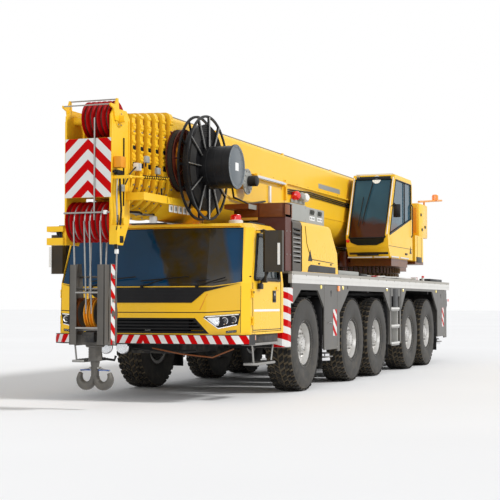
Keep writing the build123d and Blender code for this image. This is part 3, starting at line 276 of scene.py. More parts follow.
def make_materials():
    for key, values in PAINTS.items():
        materials[key] = finish(*values, zones=ZONES.get(key, ()))
    for key, values in GLASSES.items():
        materials[key] = tinted_glass(*values)
    for key, values in LAMPS.items():
        materials[key] = glowing(key, *values)
    for key, values in STRIPES.items():
        materials[key] = stripes(*values)


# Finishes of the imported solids, by their full names and then by how the names start
NODE_FINISH = {"axles_and_struts": "chassis", "slew_ring_gear": "ring", "deck": "rail",
               "side_skirts": "skirt", "truck_cab_shell": "cab", "engine_covers": "hood",
               "truck_cab_windscreen": "screen", "truck_cab_interior": "trim",
               "front_trim_and_bumper": "black", "exhaust_cowl": "cowl_zones", "engine_block": "engine",
               "superstructure": "upper", "crane_cab_shell": "crane_cab", "crane_cab_windows": "crane_pane",
               "luffing_cylinder_barrel": "yellow", "luffing_cylinder_rod": "chrome",
               "boom_head": "head_yellow", "head_sheaves": "red", "hoist_rope_falls": "steel",
               "hook_block": "hook_grey", "ramshorn_hook": "hook_grey", "cable_reel": "black"}
START_FINISH = {"wheel": "rubber", "knuckle": "chassis", "chassis": "chassis",
                "truck_cab_door_window": "pane", "truck_cab_door": "door", "boom": "boom_yellow",
                "outrigger_beam": "skirt", "outrigger_jack": "chrome"}


def dress_nodes():
    """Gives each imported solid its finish."""
    for name, node in nodes.items():
        starts = [key for start, key in START_FINISH.items() if name.startswith(start)]
        key = NODE_FINISH.get(name) or starts[0]
        if not node.material_slots:
            node.data.materials.append(None)
        for slot in node.material_slots:
            slot.material = materials[key].material


# Mesh making: one joined mesh per piece, built from small solids
AXES = {"x": (1, 0, 0), "y": (0, 1, 0), "z": (0, 0, 1)}
TIP = 0.0005  # radius at which a turned shape ends next to its axis
HORN_STEPS = 26
HORN_CORNERS = 24


def around(x, y, z, radius, angle):
    """A point on a circle that stands across y."""
    return (x + radius * math.cos(angle), y, z + radius * math.sin(angle))


class Builder:
    """Collects solids in one mesh, each with a finish, and hands over one piece."""

    def __init__(self, name, body, side=1):
        self.name = name
        self.body = body
        self.side = side
        self.mesh = bmesh.new()
        self.finishes = []

    def sides(self):
        """Lets a loop build on the left side and then, mirrored, on the right one."""
        for self.side in (1, -1):
            yield self.side
        self.side = 1

    def spot(self, point):
        return (point[0], point[1] * self.side, point[2])

    def vertex(self, point):
        return self.mesh.verts.new(self.spot(point))

    def paint(self, faces, look, smooth=False):
        if look not in self.finishes:
            self.finishes.append(look)
        index = self.finishes.index(look)
        for face in faces:
            face.material_index = index
            face.smooth = smooth

    def band(self, first, second, close=True):
        """Four-cornered faces between two rows of corners."""
        count = len(first)
        corners = [(k, (k + 1) % count) for k in range(count if close else count - 1)]
        return [self.mesh.faces.new((first[k], first[j], second[j], second[k])) for k, j in corners]

    def caps(self, rings):
        return [self.mesh.faces.new(list(reversed(rings[0]))), self.mesh.faces.new(rings[-1])]

    def bevel(self, verts, look, width):
        if width:
            edges = list({e for v in verts for e in v.link_edges})
            made = bmesh.ops.bevel(self.mesh, geom=edges, offset=width, segments=2, affect="EDGES",
                                   profile=0.5, clamp_overlap=True)
            self.paint(made["faces"], look)

    def box(self, low, high, look, bevel=0.0):
        low, high = self.spot(low), self.spot(high)
        size = [abs(b - a) for a, b in zip(low, high)]
        middle = [(a + b) / 2 for a, b in zip(low, high)]
        matrix = Matrix.Translation(middle) @ Matrix.Diagonal((*size, 1.0))
        verts = bmesh.ops.create_cube(self.mesh, size=1.0, matrix=matrix)["verts"]
        self.paint({f for v in verts for f in v.link_faces}, look)
        self.bevel(verts, look, bevel)

    def prism(self, outline, axis, low, high, look, bevel=0.0):
        """An outline of two coordinates, pushed along the third axis."""
        order = {"x": (2, 0, 1), "y": (0, 2, 1), "z": (0, 1, 2)}[axis]
        rings = []
        for level in (low, high):
            points = [[(a, b, level)[k] for k in order] for a, b in outline]
            rings.append([self.vertex(point) for point in points])
        faces = self.band(*rings) + self.caps(rings)
        bmesh.ops.recalc_face_normals(self.mesh, faces=faces)
        self.paint(faces, look)
        self.bevel(rings[0] + rings[1], look, bevel)

    def horn(self, centre):
        """One arm of the hook: an oval section that swells below the throat and thins to the tip."""
        rings = []
        for step in range(HORN_STEPS + 1):
            share = step / HORN_STEPS
            turn = math.pi * 1.155 * share
            swell = math.sin(math.pi * min(1.0, share * 1.12)) ** 1.5
            thinning = max(0.0, share - 0.8) * 5
            half_width = 0.034 + 0.022 * swell - 0.008 * thinning
            half_depth = 0.05 + 0.008 * swell - 0.016 * thinning
            ring = []
            for k in range(HORN_CORNERS):
                a = math.tau * k / HORN_CORNERS
                wide, deep = [math.copysign(abs(c) ** 0.8, c) for c in (math.cos(a), math.sin(a))]
                reach = 0.066 + half_width + half_width * wide
                ring.append(self.vertex((centre[0] + half_depth * deep, centre[1] - reach * math.cos(turn),
                                         centre[2] - reach * math.sin(turn))))
            rings.append(ring)
        faces = [face for low, high in zip(rings, rings[1:]) for face in self.band(low, high)]
        faces += self.caps(rings)
        bmesh.ops.recalc_face_normals(self.mesh, faces=faces)
        self.paint(faces, "hook_grey", True)

    def rod(self, start, end, radius, look, segments=12):
        start, end = Vector(self.spot(start)), Vector(self.spot(end))
        turn = (end - start).to_track_quat("Z", "Y").to_matrix().to_4x4()
        made = bmesh.ops.create_cone(self.mesh, cap_ends=True, segments=segments, radius1=radius,
                                     radius2=radius, depth=(end - start).length,
                                     matrix=Matrix.Translation((start + end) / 2) @ turn)
        faces = {f for v in made["verts"] for f in v.link_faces}
        self.paint([f for f in faces if len(f.verts) == 4], look, True)
        self.paint([f for f in faces if len(f.verts) != 4], look)

    def bolts(self, count, x, z, circle, low, high, radius, look, segments=6, start=0.0):
        """Round or six-sided heads on a circle that stands across y, each from one y to another."""
        for step in range(count):
            angle = math.tau * (step + start) / count
            self.rod(around(x, low, z, circle, angle), around(x, high, z, circle, angle), radius, look,
                     segments)

    def spokes(self, count, x, y, z, inner, outer, radius, look, segments=8):
        for step in range(count):
            angle = math.tau * step / count
            self.path([around(x, y, z, inner, angle), around(x, y, z, outer, angle)], radius, look,
                      segments)

    def path(self, points, radius, look, segments=8):
        """A bent bar or hose through the points, with closed ends."""
        points = [Vector(self.spot(p)) for p in points]
        rings = []
        side = None
        for index, point in enumerate(points):
            before = points[max(index - 1, 0)]
            after = points[min(index + 1, len(points) - 1)]
            along = (after - before).normalized()
            if side is None:
                side = along.orthogonal().normalized()
            side = (side - along * side.dot(along)).normalized()
            other = along.cross(side)
            rings.append([self.mesh.verts.new(point + (side * math.cos(a) + other * math.sin(a)) * radius)
                          for a in (math.tau * k / segments for k in range(segments))])
        for first, second in zip(rings, rings[1:]):
            self.paint(self.band(first, second), look, True)
        self.paint(self.caps(rings), look)

    def surround(self, corners, radius, look):
        """Bars from corner to corner round an opening."""
        for start, end in zip(corners, corners[1:] + corners[:1]):
            self.path([start, end], radius, look)

    def lathe(self, profile, centre, axis, segments, look, close=False):
        """Turns (radius, offset) points round an axis through the centre."""
        axis = Vector(self.spot(AXES.get(axis, axis))).normalized()
        side = axis.orthogonal().normalized()
        other = axis.cross(side)
        centre = Vector(self.spot(centre))
        rings = []
        for step in range(segments):
            angle = math.tau * step / segments
            out = side * math.cos(angle) + other * math.sin(angle)
            points = [centre + axis * offset + out * radius for radius, offset in profile]
            rings.append([self.mesh.verts.new(point) for point in points])
        pairs = zip(rings, rings[1:] + rings[:1])
        faces = [face for first, second in pairs for face in self.band(first, second, close)]
        self.paint(faces, look, True)
        bmesh.ops.recalc_face_normals(self.mesh, faces=faces)

    def done(self, slot, *replaced):
        data = bpy.data.meshes.new(self.name)
        self.mesh.to_mesh(data)
        self.mesh.free()
        for look in self.finishes:
            data.materials.append(materials[look].material)
        made = bpy.data.objects.new(self.name, data)
        bpy.context.scene.collection.objects.link(made)
        data.set_sharp_from_angle(angle=math.radians(35))
        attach(made, self.body)
        if replaced:
            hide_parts(*replaced)


# Wheels: block-tread tyre on a painted steel rim
TYRE_RADIUS = 0.73
TREAD_DEPTH = 0.02
TREAD_COUNT = 38
WALL_POINTS = 8
TYRE_PROFILE = [(0.325, 0.178), (0.352, 0.19), (0.372, 0.198), (0.42, 0.212), (0.5, 0.2215), (0.57, 0.2215),
                (0.64, 0.212), (0.688, 0.202), (0.704, 0.18), (0.71, 0.09), (0.711, 0.0)]
TREAD_ROWS = [  # inner offset, outer offset, slant in radians, share of the pitch
    (0.012, 0.076, 0.07, 0.72),
    (0.094, 0.146, 0.045, 0.7),
    (0.158, 0.205, 0.02, 0.66),
]
BLOCK_FACES = ((4, 5, 7, 6), (0, 1, 5, 4), (2, 6, 7, 3), (0, 4, 6, 2), (1, 3, 7, 5))
BEAD_LINES = [(0.392, 0.2035), (0.655, 0.2085)]
RIM_FRONT = [(0.357, 0.196), (0.36, 0.19), (0.346, 0.18), (0.324, 0.172), (0.318, 0.15), (0.306, 0.12),
             (0.302, 0.085), (0.262, 0.078), (0.232, 0.1), (0.205, 0.112), (0.13, 0.112), (0.122, 0.118),
             (0.118, 0.15), (0.108, 0.168), (0.07, 0.174), (TIP, 0.174)]
RIM_BACK = [(0.357, -0.196), (0.36, -0.19), (0.3, -0.18), (0.296, 0.06), (0.15, 0.068), (0.15, -0.065),
            (0.072, -0.07)]
RIM_BOLTS = [  # count, first angle's share, circle, low, high, radius, finish, corners
    (10, 0.0, 0.168, 0.11, 0.132, 0.019, "rim", 12),
    (10, 0.0, 0.168, 0.13, 0.152, 0.0145, "steel", 6),
    (20, 0.5, 0.335, 0.176, 0.19, 0.0075, "chassis", 10),
    (10, 0.5, 0.285, 0.074, 0.0815, 0.022, "chassis", 10),
    (12, 0.5, 0.092, 0.168, 0.18, 0.007, "steel", 10),
]


def tread_block(b, centre, mirror, start, row):
    """One rubber block; it leans, narrows towards the ground and drops at the shoulder."""
    inner, outer, slant, share = row
    corners = []
    for depth, shrink in ((-0.004, 0.0), (TREAD_DEPTH, 0.08)):
        for offset, lean in ((inner, 0.0), (outer, slant)):
            top = TYRE_RADIUS - TREAD_DEPTH + depth
            if outer > 0.2 and offset == outer:
                top -= 0.01 if depth > 0 else 0.006
            half = math.tau / TREAD_COUNT * share * (0.5 - shrink)
            for turn in (-half, half):
                spot = around(centre[0], centre[1] + mirror * offset, centre[2], top, start + lean + turn)
                corners.append(b.mesh.verts.new(spot))
    faces = [b.mesh.faces.new([corners[k] for k in quad]) for quad in BLOCK_FACES]
    bmesh.ops.recalc_face_normals(b.mesh, faces=faces)
    b.paint(faces, "rubber")


def dress_wheel(name, side):
    """One dressed wheel; its outer face looks to the given side."""
    b = Builder(f"dressed_{name}", name)
    centre = [(low + high) / 2 for low, high in zip(*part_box(name))]
    axis = (0, side, 0)
    for face_side in (1, -1):
        b.lathe([(r, face_side * o) for r, o in TYRE_PROFILE[:WALL_POINTS]], centre, axis, 88, "wall")
    tread = TYRE_PROFILE[WALL_POINTS - 1:]
    b.lathe(tread + [(r, -o) for r, o in reversed(tread[:-1])], centre, axis, 88, "groove")
    b.lathe([(0.325, 0.178), (0.318, 0.0), (0.325, -0.178)], centre, axis, 64, "rubber")
    for radius, offset in BEAD_LINES:
        for face_side in (1, -1):
            line = [(radius - 0.006, offset), (radius, offset + 0.005), (radius + 0.006, offset + 0.001)]
            b.lathe([(r, face_side * o) for r, o in line], centre, axis, 72, "wall")
    for step in range(TREAD_COUNT):
        for mirror, shift in ((1, 0.0), (-1, 0.5)):
            for row in TREAD_ROWS:
                tread_block(b, centre, mirror, math.tau / TREAD_COUNT * (step + shift), row)
    b.lathe(RIM_FRONT, centre, axis, 64, "rim")
    b.lathe(RIM_BACK, centre, axis, 48, "rim")
    for count, start, circle, low, high, radius, look, corners in RIM_BOLTS:
        b.bolts(count, centre[0], centre[2], circle, centre[1] + side * low, centre[1] + side * high,
                radius, look, corners, start)
    b.done("wheel", name)


def dress_wheels():
    for number in range(1, 6):
        for side_name, side in SIDES:
            dress_wheel(f"wheel_{number}_{side_name}", side)


# Truck cab
BUMPER_FRONT = [(5.8, 1.5), (5.95, 1.3), (6.0, 0.7), (6.01, 0.0)]
FENDER_EDGE = [(3.995, 1.48), (4.13, 1.48), (4.24, 1.425), (4.275, 1.3), (4.275, 1.02)]
CAB_LEVELS = [  # height, end of side, corner, shoulder, middle of the front, half width
    (0.93, 5.69, 5.85, 5.93, 5.955, 1.48),
    (1.64, 5.67, 5.83, 5.915, 5.94, 1.48),
    (2.42, 5.42, 5.56, 5.65, 5.68, 1.44),
    (2.49, 5.34, 5.46, 5.54, 5.57, 1.36),
]
LAMP_MIDDLE = (1.13, 1.13)
HEADLAMPS = [(1.06, 1.108, 0.046), (1.175, 1.122, 0.05), (1.295, 1.14, 0.048)]
WIPER_PIVOTS = (-0.86, -0.05, 0.78)


def cab_front(y, z, rise=0.0):
    """A point on the cab's front skin at y and z, with a small rise off it."""
    for low, high in zip(CAB_LEVELS, CAB_LEVELS[1:]):
        if z <= high[0]:
            break
    share = (z - low[0]) / (high[0] - low[0])
    end, corner, shoulder, middle, half = [a + (b - a) * share for a, b in zip(low[1:], high[1:])]
    outline = [(0.0, middle), (half - 0.56, shoulder), (half - 0.08, corner), (half, end)]
    for (y0, x0), (y1, x1) in zip(outline, outline[1:]):
        if abs(y) <= y1 or y1 == half:
            x = x0 + (x1 - x0) * min(1.0, (abs(y) - y0) / (y1 - y0))
            return (x + rise, y, z)


def skin_sheet(b, outline, rise, thickness, look):
    """A thin sheet of (y, z) corners laid on the cab's front."""
    rings = [[b.vertex(cab_front(y, z, level)) for y, z in outline] for level in (rise, rise - thickness)]
    faces = b.band(*rings) + b.caps(rings)
    bmesh.ops.recalc_face_normals(b.mesh, faces=faces)
    b.paint(faces, look)


def strip_on_skin(b, points, width, rise, thickness, look):
    """A narrow band along (y, z) points on the cab's front, cut where the skin bends."""
    for (y0, z0), (y1, z1) in zip(points, points[1:]):
        half = width / 2 / math.hypot(y1 - y0, z1 - z0)
        dy, dz = (z0 - z1) * half, (y1 - y0) * half
        skin_sheet(b, [(y0 - dy, z0 - dz), (y1 - dy, z1 - dz), (y1 + dy, z1 + dz), (y0 + dy, z0 + dz)],
                   rise, thickness, look)


def upright_sheet(b, start, end, outward, inward, low, high, look):
    """A thin upright sheet along a line seen from above."""
    (x0, y0), (x1, y1) = start, end
    out = Vector((y0 - y1, x1 - x0)).normalized()
    corners = ((x0, y0, outward), (x1, y1, outward), (x1, y1, -inward), (x0, y0, -inward))
    b.prism([(x + out.x * by, y + out.y * by) for x, y, by in corners], "z", low, high, look)


def dress_headlamps(b):
    lamp = [(1.08, 1.01), (0.87, 1.165), (0.9, 1.19), (1.39, 1.225), (1.355, 1.065)]
    middle_y, middle_z = LAMP_MIDDLE
    skin_sheet(b, [(middle_y + (y - middle_y) * 0.88, middle_z + (z - middle_z) * 0.84) for y, z in lamp],
               0.001, 0.003, "trim")
    skin_sheet(b, [(1.05, 1.055), (0.93, 1.15), (0.95, 1.165), (1.1, 1.17), (1.09, 1.06)], 0.003, 0.004,
               "mirror")
    # A glowing white strip along the top of the lamp: a painted highlight in place of the chrome top bezel
    strip_on_skin(b, [(0.9, 1.178), (1.37, 1.212)], 0.014, 0.004, 0.004, "lamp_white")
    strip_on_skin(b, [(0.885, 1.16), (1.085, 1.016), (1.345, 1.07)], 0.012, 0.004, 0.004, "chrome")
    for y, z, radius in HEADLAMPS:
        centre = cab_front(y, z)
        inner = radius - 0.01
        b.lathe([(radius, 0.006), (radius, -0.03), (inner, -0.034), (inner, 0.002)], centre, "x", 28,
                "chrome", close=True)
        b.lathe([(radius - 0.011, -0.026), (radius * 0.7, -0.006), (radius * 0.4, 0.003), (0.001, 0.006)],
                centre, "x", 28, "clear")
        b.lathe([(radius - 0.012, -0.032), (0.001, -0.036)], centre, "x", 24, "lamp_white")
    skin_sheet(b, [(1.2, 0.955), (1.2, 0.981), (1.33, 0.995), (1.33, 0.97)], 0.0035, 0.004, "clear")


def dress_cab_steps(b):
    """Side marker lamp and the two steps below the door."""
    b.box((5.5, 1.44, 0.835), (5.66, 1.498, 0.935), "black", 0.006)
    b.box((5.53, 1.44, 0.85), (5.63, 1.4995, 0.92), "lamp_orange", 0.006)
    for low, high, z in ((4.5, 5.48, 0.79), (4.62, 5.4, 0.51)):
        b.box((low, 1.26, z - 0.018), (high, 1.46, z + 0.018), "steel", 0.006)
        for k in range(int((high - low) / 0.09)):
            x = low + 0.06 + 0.09 * k
            b.rod((x, 1.28, z + 0.0185), (x, 1.44, z + 0.0185), 0.01, "chassis", 6)
    for x, foot in ((4.56, 4.66), (5.42, 5.36)):
        b.path([(x, 1.38, 0.93), (x, 1.4, 0.79), (foot, 1.4, 0.5)], 0.014, "steel")
    b.box((4.46, 1.28, 0.8), (5.48, 1.44, 0.928), "chassis", 0.01)


def dress_cab_front():
    b = Builder("cab_front_trim", "carrier")
    for _ in b.sides():
        for start, end in zip(BUMPER_FRONT, BUMPER_FRONT[1:]):
            upright_sheet(b, start, end, 0.0025, 0.0025, 0.806, 0.922, "tape")
        strip_on_skin(b, [(0.0, 1.236), (0.92, 1.236), (1.395, 1.262)], 0.012, 0.0012, 0.004, "black")
        strip_on_skin(b, [(0.93, 1.49), (0.82, 1.27)], 0.016, 0.0015, 0.004, "orange")
        strip_on_skin(b, [(1.392, 0.96), (1.392, 1.6)], 0.006, 0.001, 0.003, "black")
        dress_headlamps(b)
        dress_cab_steps(b)
    # Two round lamps in the bumper's opening, hoses below and beside them
    for y in (-0.62, -0.36):
        b.lathe([(TIP, 0.0), (0.085, 0.004), (0.098, -0.01), (0.098, -0.035), (0.05, -0.07), (TIP, -0.075)],
                (5.94, y, 0.745), "x", 32, "chrome")
        b.rod((5.86, y, 0.73), (5.86, y, 0.82), 0.02, "black")
        b.lathe([(0.082, 0.005), (0.045, 0.014), (TIP, 0.017)], (5.94, y, 0.745), "x", 28, "clear")
    b.path([(5.9, -0.72, 0.7), (5.9, -0.7, 0.58), (5.9, -0.5, 0.56), (5.9, -0.48, 0.62)], 0.018, "black")
    b.path([(5.92, 0.1, 0.74), (5.92, 0.55, 0.66), (5.9, 1.0, 0.62), (5.86, 1.3, 0.74)], 0.01, "brown")
    b.path([(5.9, -0.2, 0.74), (5.9, 0.25, 0.69), (5.88, 0.75, 0.71)], 0.012, "black")
    # Wipers: pivot, arm and blade
    for y in WIPER_PIVOTS:
        b.rod(cab_front(y, 1.6), cab_front(y, 1.6, 0.035), 0.022, "black")
        b.path([cab_front(y, 1.6, 0.03), cab_front(y + 0.4, 1.72, 0.032)], 0.009, "black")
        b.path([cab_front(y - 0.02, 1.675, 0.022), cab_front(y + 0.7, 1.735, 0.022)], 0.008, "black")
    for y in (-0.3, 0.1, 0.5):
        low, high = y - 0.05, y + 0.05
        skin_sheet(b, [(low, 1.553), (low, 1.571), (high, 1.571), (high, 1.553)], 0.016, 0.003, "trim")
    # Ribs of the woven black panel and the maze behind the grille
    for row in range(9):
        z = 1.385 + row * 0.019
        half = 0.69 + row * 0.019
        strip_on_skin(b, [(-half, z), (0, z), (half, z)], 0.004, 0.0165, 0.003, "trim")
    b.box((5.72, -0.62, 0.96), (5.8, 0.6, 1.14), "trim", 0.01)
    b.box((5.86, -0.035, 0.955), (5.885, 0.05, 1.01), "cowl", 0.004)
    b.done("black")


def dress_cab_roof():
    b = Builder("cab_roof_fittings", "carrier")
    for _ in b.sides():
        beacon = (4.9, 0.95, 2.488)
        b.lathe([(TIP, 0.0), (0.105, 0.0), (0.105, 0.075), (0.085, 0.085), (TIP, 0.085)], beacon, "z", 28,
                "white")
        b.lathe([(0.08, 0.086), (0.08, 0.135), (0.07, 0.16), (TIP, 0.17)], beacon, "z", 28, "lamp_red")
        b.path([(5.43, 1.3, 2.47), (5.3, 1.33, 2.505), (4.75, 1.33, 2.505), (4.62, 1.3, 2.47)], 0.012,
               "black")
        b.box((5.36, 0.5, 2.489), (5.44, 0.6, 2.512), "lamp_orange", 0.008)
    b.path([(4.62, 0.3, 2.49), (4.62, 0.3, 2.7)], 0.006, "black")
    b.box((4.86, -0.42, 2.489), (5.26, 0.42, 2.506), "black", 0.006)
    b.done("black")


def dress_fenders():
    b = Builder("striped_fenders", "carrier")
    for _ in b.sides():
        for start, end in zip(FENDER_EDGE, FENDER_EDGE[1:]):
            look = "black" if end == FENDER_EDGE[-1] else "fender_stripe"
            upright_sheet(b, start, end, 0.003, 0.0, 0.712, 1.596, look)
        b.box((3.9, 1.48, 1.366), (3.995, 1.483, 1.596), "fender_stripe")
    b.done("skirt")


def dress_doors():
    for side_name, side in SIDES:
        b = Builder(f"door_fittings_{side_name}", f"truck_cab_door_{side_name}", side)
        # A white strip along the sill crease: a painted highlight
        b.box((4.5, 1.4805, 1.247), (5.56, 1.4825, 1.279), "white")
        b.box((4.66, 1.481, 1.375), (4.8, 1.487, 1.545), "black", 0.01)
        b.box((4.685, 1.486, 1.395), (4.775, 1.496, 1.42), "trim", 0.004)
        b.rod((4.73, 1.486, 1.49), (4.73, 1.492, 1.49), 0.018, "chrome", 20)
        for x0, x1, z0, z1 in ((4.44, 4.452, 0.975, 1.69), (5.6, 5.612, 0.975, 1.65),
                               (4.45, 5.61, 0.985, 0.995)):
            b.box((x0, 1.4805, z0), (x1, 1.4835, z1), "black")
        # Window frame, mirror glasses and their arms
        b.surround([(4.5, 1.4815, 1.7), (4.58, 1.4475, 2.33), (5.33, 1.4475, 2.33), (5.54, 1.4815, 1.7)],
                   0.026, "black")
        for z0, z1 in ((2.02, 2.35), (1.83, 1.99)):
            b.box((5.2965, 1.62, z0), (5.2995, 1.81, z1), "mirror")
        # White strip on the outer edge of the mirror housing: a painted highlight
        b.box((5.452, 1.79, 1.9), (5.456, 1.826, 2.2), "white")
        b.box((5.3, 1.47, 1.56), (5.43, 1.53, 1.64), "black", 0.012)
        b.path([(5.36, 1.5, 1.64), (5.36, 1.57, 1.72), (5.36, 1.62, 1.82)], 0.02, "black")
        b.path([(5.36, 1.42, 2.36), (5.36, 1.55, 2.385), (5.36, 1.62, 2.36)], 0.018, "black")
        b.path([(4.6, 1.5, 1.7), (4.6, 1.515, 1.78), (4.66, 1.5, 2.2), (4.66, 1.47, 2.28)], 0.012, "black")
        b.done("black")


def dress_cab_inside():
    b = Builder("cab_inside_details", "carrier")
    for y in (-0.78, 0.0, 0.78):
        b.box((4.72, y - 0.21, 1.375), (5.14, y + 0.21, 1.42), "trim", 0.03)
        b.box((4.6, y - 0.13, 2.03), (4.68, y + 0.13, 2.2), "trim", 0.03)
    b.box((5.44, 0.5, 1.6), (5.56, 1.05, 1.71), "black", 0.02)
    b.box((5.46, -0.3, 1.6), (5.52, 0.25, 1.72), "black", 0.01)
    b.done("interior")


# Carrier sides and tail
SIDE_FACE = 1.4805
DECK_TOP = 1.851
COVER_FACE = (1.4555, 1.4585)
SIDE_STEPS = (0.56, 0.9, 1.24)
OUTRIGGERS = (("front", 1.83), ("rear", -6.78))


def dress_sides():
    b = Builder("carrier_side_fittings", "carrier")
    for side in b.sides():
        for x in (2.48, 1.24 if side > 0 else 1.22, -1.75, -3.05, -6.17 if side > 0 else -6.42):
            b.lathe([(TIP, 0.014), (0.026, 0.012), (0.034, 0.004), (0.034, 0.0)], (x, SIDE_FACE, 1.625),
                    "y", 24, "lamp_yellow")
        b.box((1.45, 1.481, 1.565), (1.57, 1.497, 1.655), "lamp_orange", 0.006)
        for k in range(19):
            x = 3.86 - 0.62 * k
            b.rod((x, 1.48, 1.8), (x, 1.4865, 1.8), 0.011, "steel", 6)
        b.box((-7.62, SIDE_FACE, 1.735), (3.92, 1.486, 1.79), "rail")
        for x, foot in ((0.95, 1.61), (-2.0, 1.2), (-2.86, 1.2)):
            b.box((x - 0.004, SIDE_FACE, foot), (x + 0.004, 1.486, 1.66), "black")
        # Black box over the ladder and the ladder's deep treads, whose studs stand out on the left side only
        b.box((-2.63, 1.4, 1.29), (-2.23, 1.484, 1.655), "black", 0.012)
        stud = (1.462, 1.4799) if side > 0 else (1.4795, 1.4616)
        for z in SIDE_STEPS:
            b.box((-2.735, 1.462, z - 0.035), (-2.125, 1.4795, z + 0.045), "steel", 0.006)
            for k in range(6):
                x = -2.68 + 0.1 * k
                b.rod((x, stud[0], z + 0.005), (x, stud[1], z + 0.005), 0.016, "black", 12)
            for k in range(8):
                x = -2.69 + 0.075 * k
                b.rod((x, 1.34, z + 0.036), (x, 1.47, z + 0.036), 0.006, "steel", 8)
        b.box((1.5, 0.5, 0.45), (2.28, 0.98, 0.64), "chassis", 0.03)
        # Mud flaps behind the first, third and fifth wheels
        b.box((2.325, 1.02, 0.3), (2.335, 1.45, 1.45), "black", 0.003)
        b.box((-1.925, 1.02, 0.32), (-1.915, 1.45, 1.4), "black", 0.003)
        b.box((-6.284, 1.04, 0.3), (-6.274, 1.46, 0.93), "black", 0.003)
        # Rear lamps
        b.box((-7.665, 1.0, 1.28), (-7.575, 1.42, 1.46), "black", 0.012)
        b.box((-7.699, 1.01, 1.29), (-7.66, 1.41, 1.45), "black", 0.008)
        for low, high, look in ((1.02, 1.12, "lamp_red"), (1.13, 1.22, "lamp_orange"),
                                (1.23, 1.3, "lamp_white"), (1.31, 1.4, "lamp_red")):
            b.box((-7.6998, low, 1.3), (-7.69, high, 1.44), look)
        b.box((-7.6, 1.462, 1.4), (-7.52, 1.478, 1.46), "lamp_red", 0.006)
        # Pipes and hoses along the frame, seen through the arches
        b.path([(3.8, 0.47, 1.5), (1.0, 0.47, 1.48), (-2.0, 0.48, 1.5), (-5.4, 0.47, 1.48)], 0.022, "black")
        b.path([(3.8, 0.455, 1.42), (1.1, 0.46, 1.43), (-2.0, 0.455, 1.41), (-5.4, 0.455, 1.43)], 0.014,
               "steel")
        # Air tanks under the frame
        for x in (-1.98, -2.75):
            b.rod((x - 0.3, 0.75, 1.13), (x + 0.3, 0.75, 1.13), 0.14, "black", 28)
    b.box((-7.6995, -0.26, 1.36), (-7.695, 0.26, 1.47), "white", 0.002)
    b.done("black")


def dress_outrigger(place, x, side_name, side):
    b = Builder(f"outrigger_marks_{place}_{side_name}", f"outrigger_beam_{place}_{side_name}", side)
    middle = x + side * 0.168
    low = min(middle - side * 0.42, middle + side * 0.31)
    b.box((low + 0.03, 1.4802, 0.82), (low + 0.24, 1.4825, 1.26), "side_tape")
    b.rod((middle - 0.07, 1.479, 1.55), (middle - 0.07, 1.4825, 1.55), 0.028, "black", 24)
    b.box((middle - 0.079, 1.4802, 1.47), (middle - 0.061, 1.4825, 1.55), "black")
    for bolt_x in (low + 0.02, low + 0.71):
        for z in (0.63, 1.1, 1.62):
            b.rod((bolt_x, 1.479, z), (bolt_x, 1.486, z), 0.012, "steel", 6)
    b.path([(low + 0.36, 1.482, 1.02), (low + 0.36, 1.496, 1.04), (low + 0.52, 1.496, 1.04),
            (low + 0.52, 1.482, 1.02)], 0.007, "steel")
    b.done("skirt")
    b = Builder(f"jack_foot_{place}_{side_name}", f"outrigger_jack_{place}_{side_name}", side)
    b.box((middle - 0.22, 1.225, 0.468), (middle + 0.22, 1.465, 0.492), "skirt", 0.006)
    b.box((middle - 0.1, 1.265, 0.49), (middle + 0.1, 1.425, 0.555), "chassis", 0.01)
    for bolt_x in (middle - 0.18, middle + 0.18):
        b.rod((bolt_x, 1.345, 0.49), (bolt_x, 1.345, 0.53), 0.02, "chassis", 12)
    b.done("steel")


def dress_outriggers():
    for place, x in OUTRIGGERS:
        for side_name, side in SIDES:
            dress_outrigger(place, x, side_name, side)


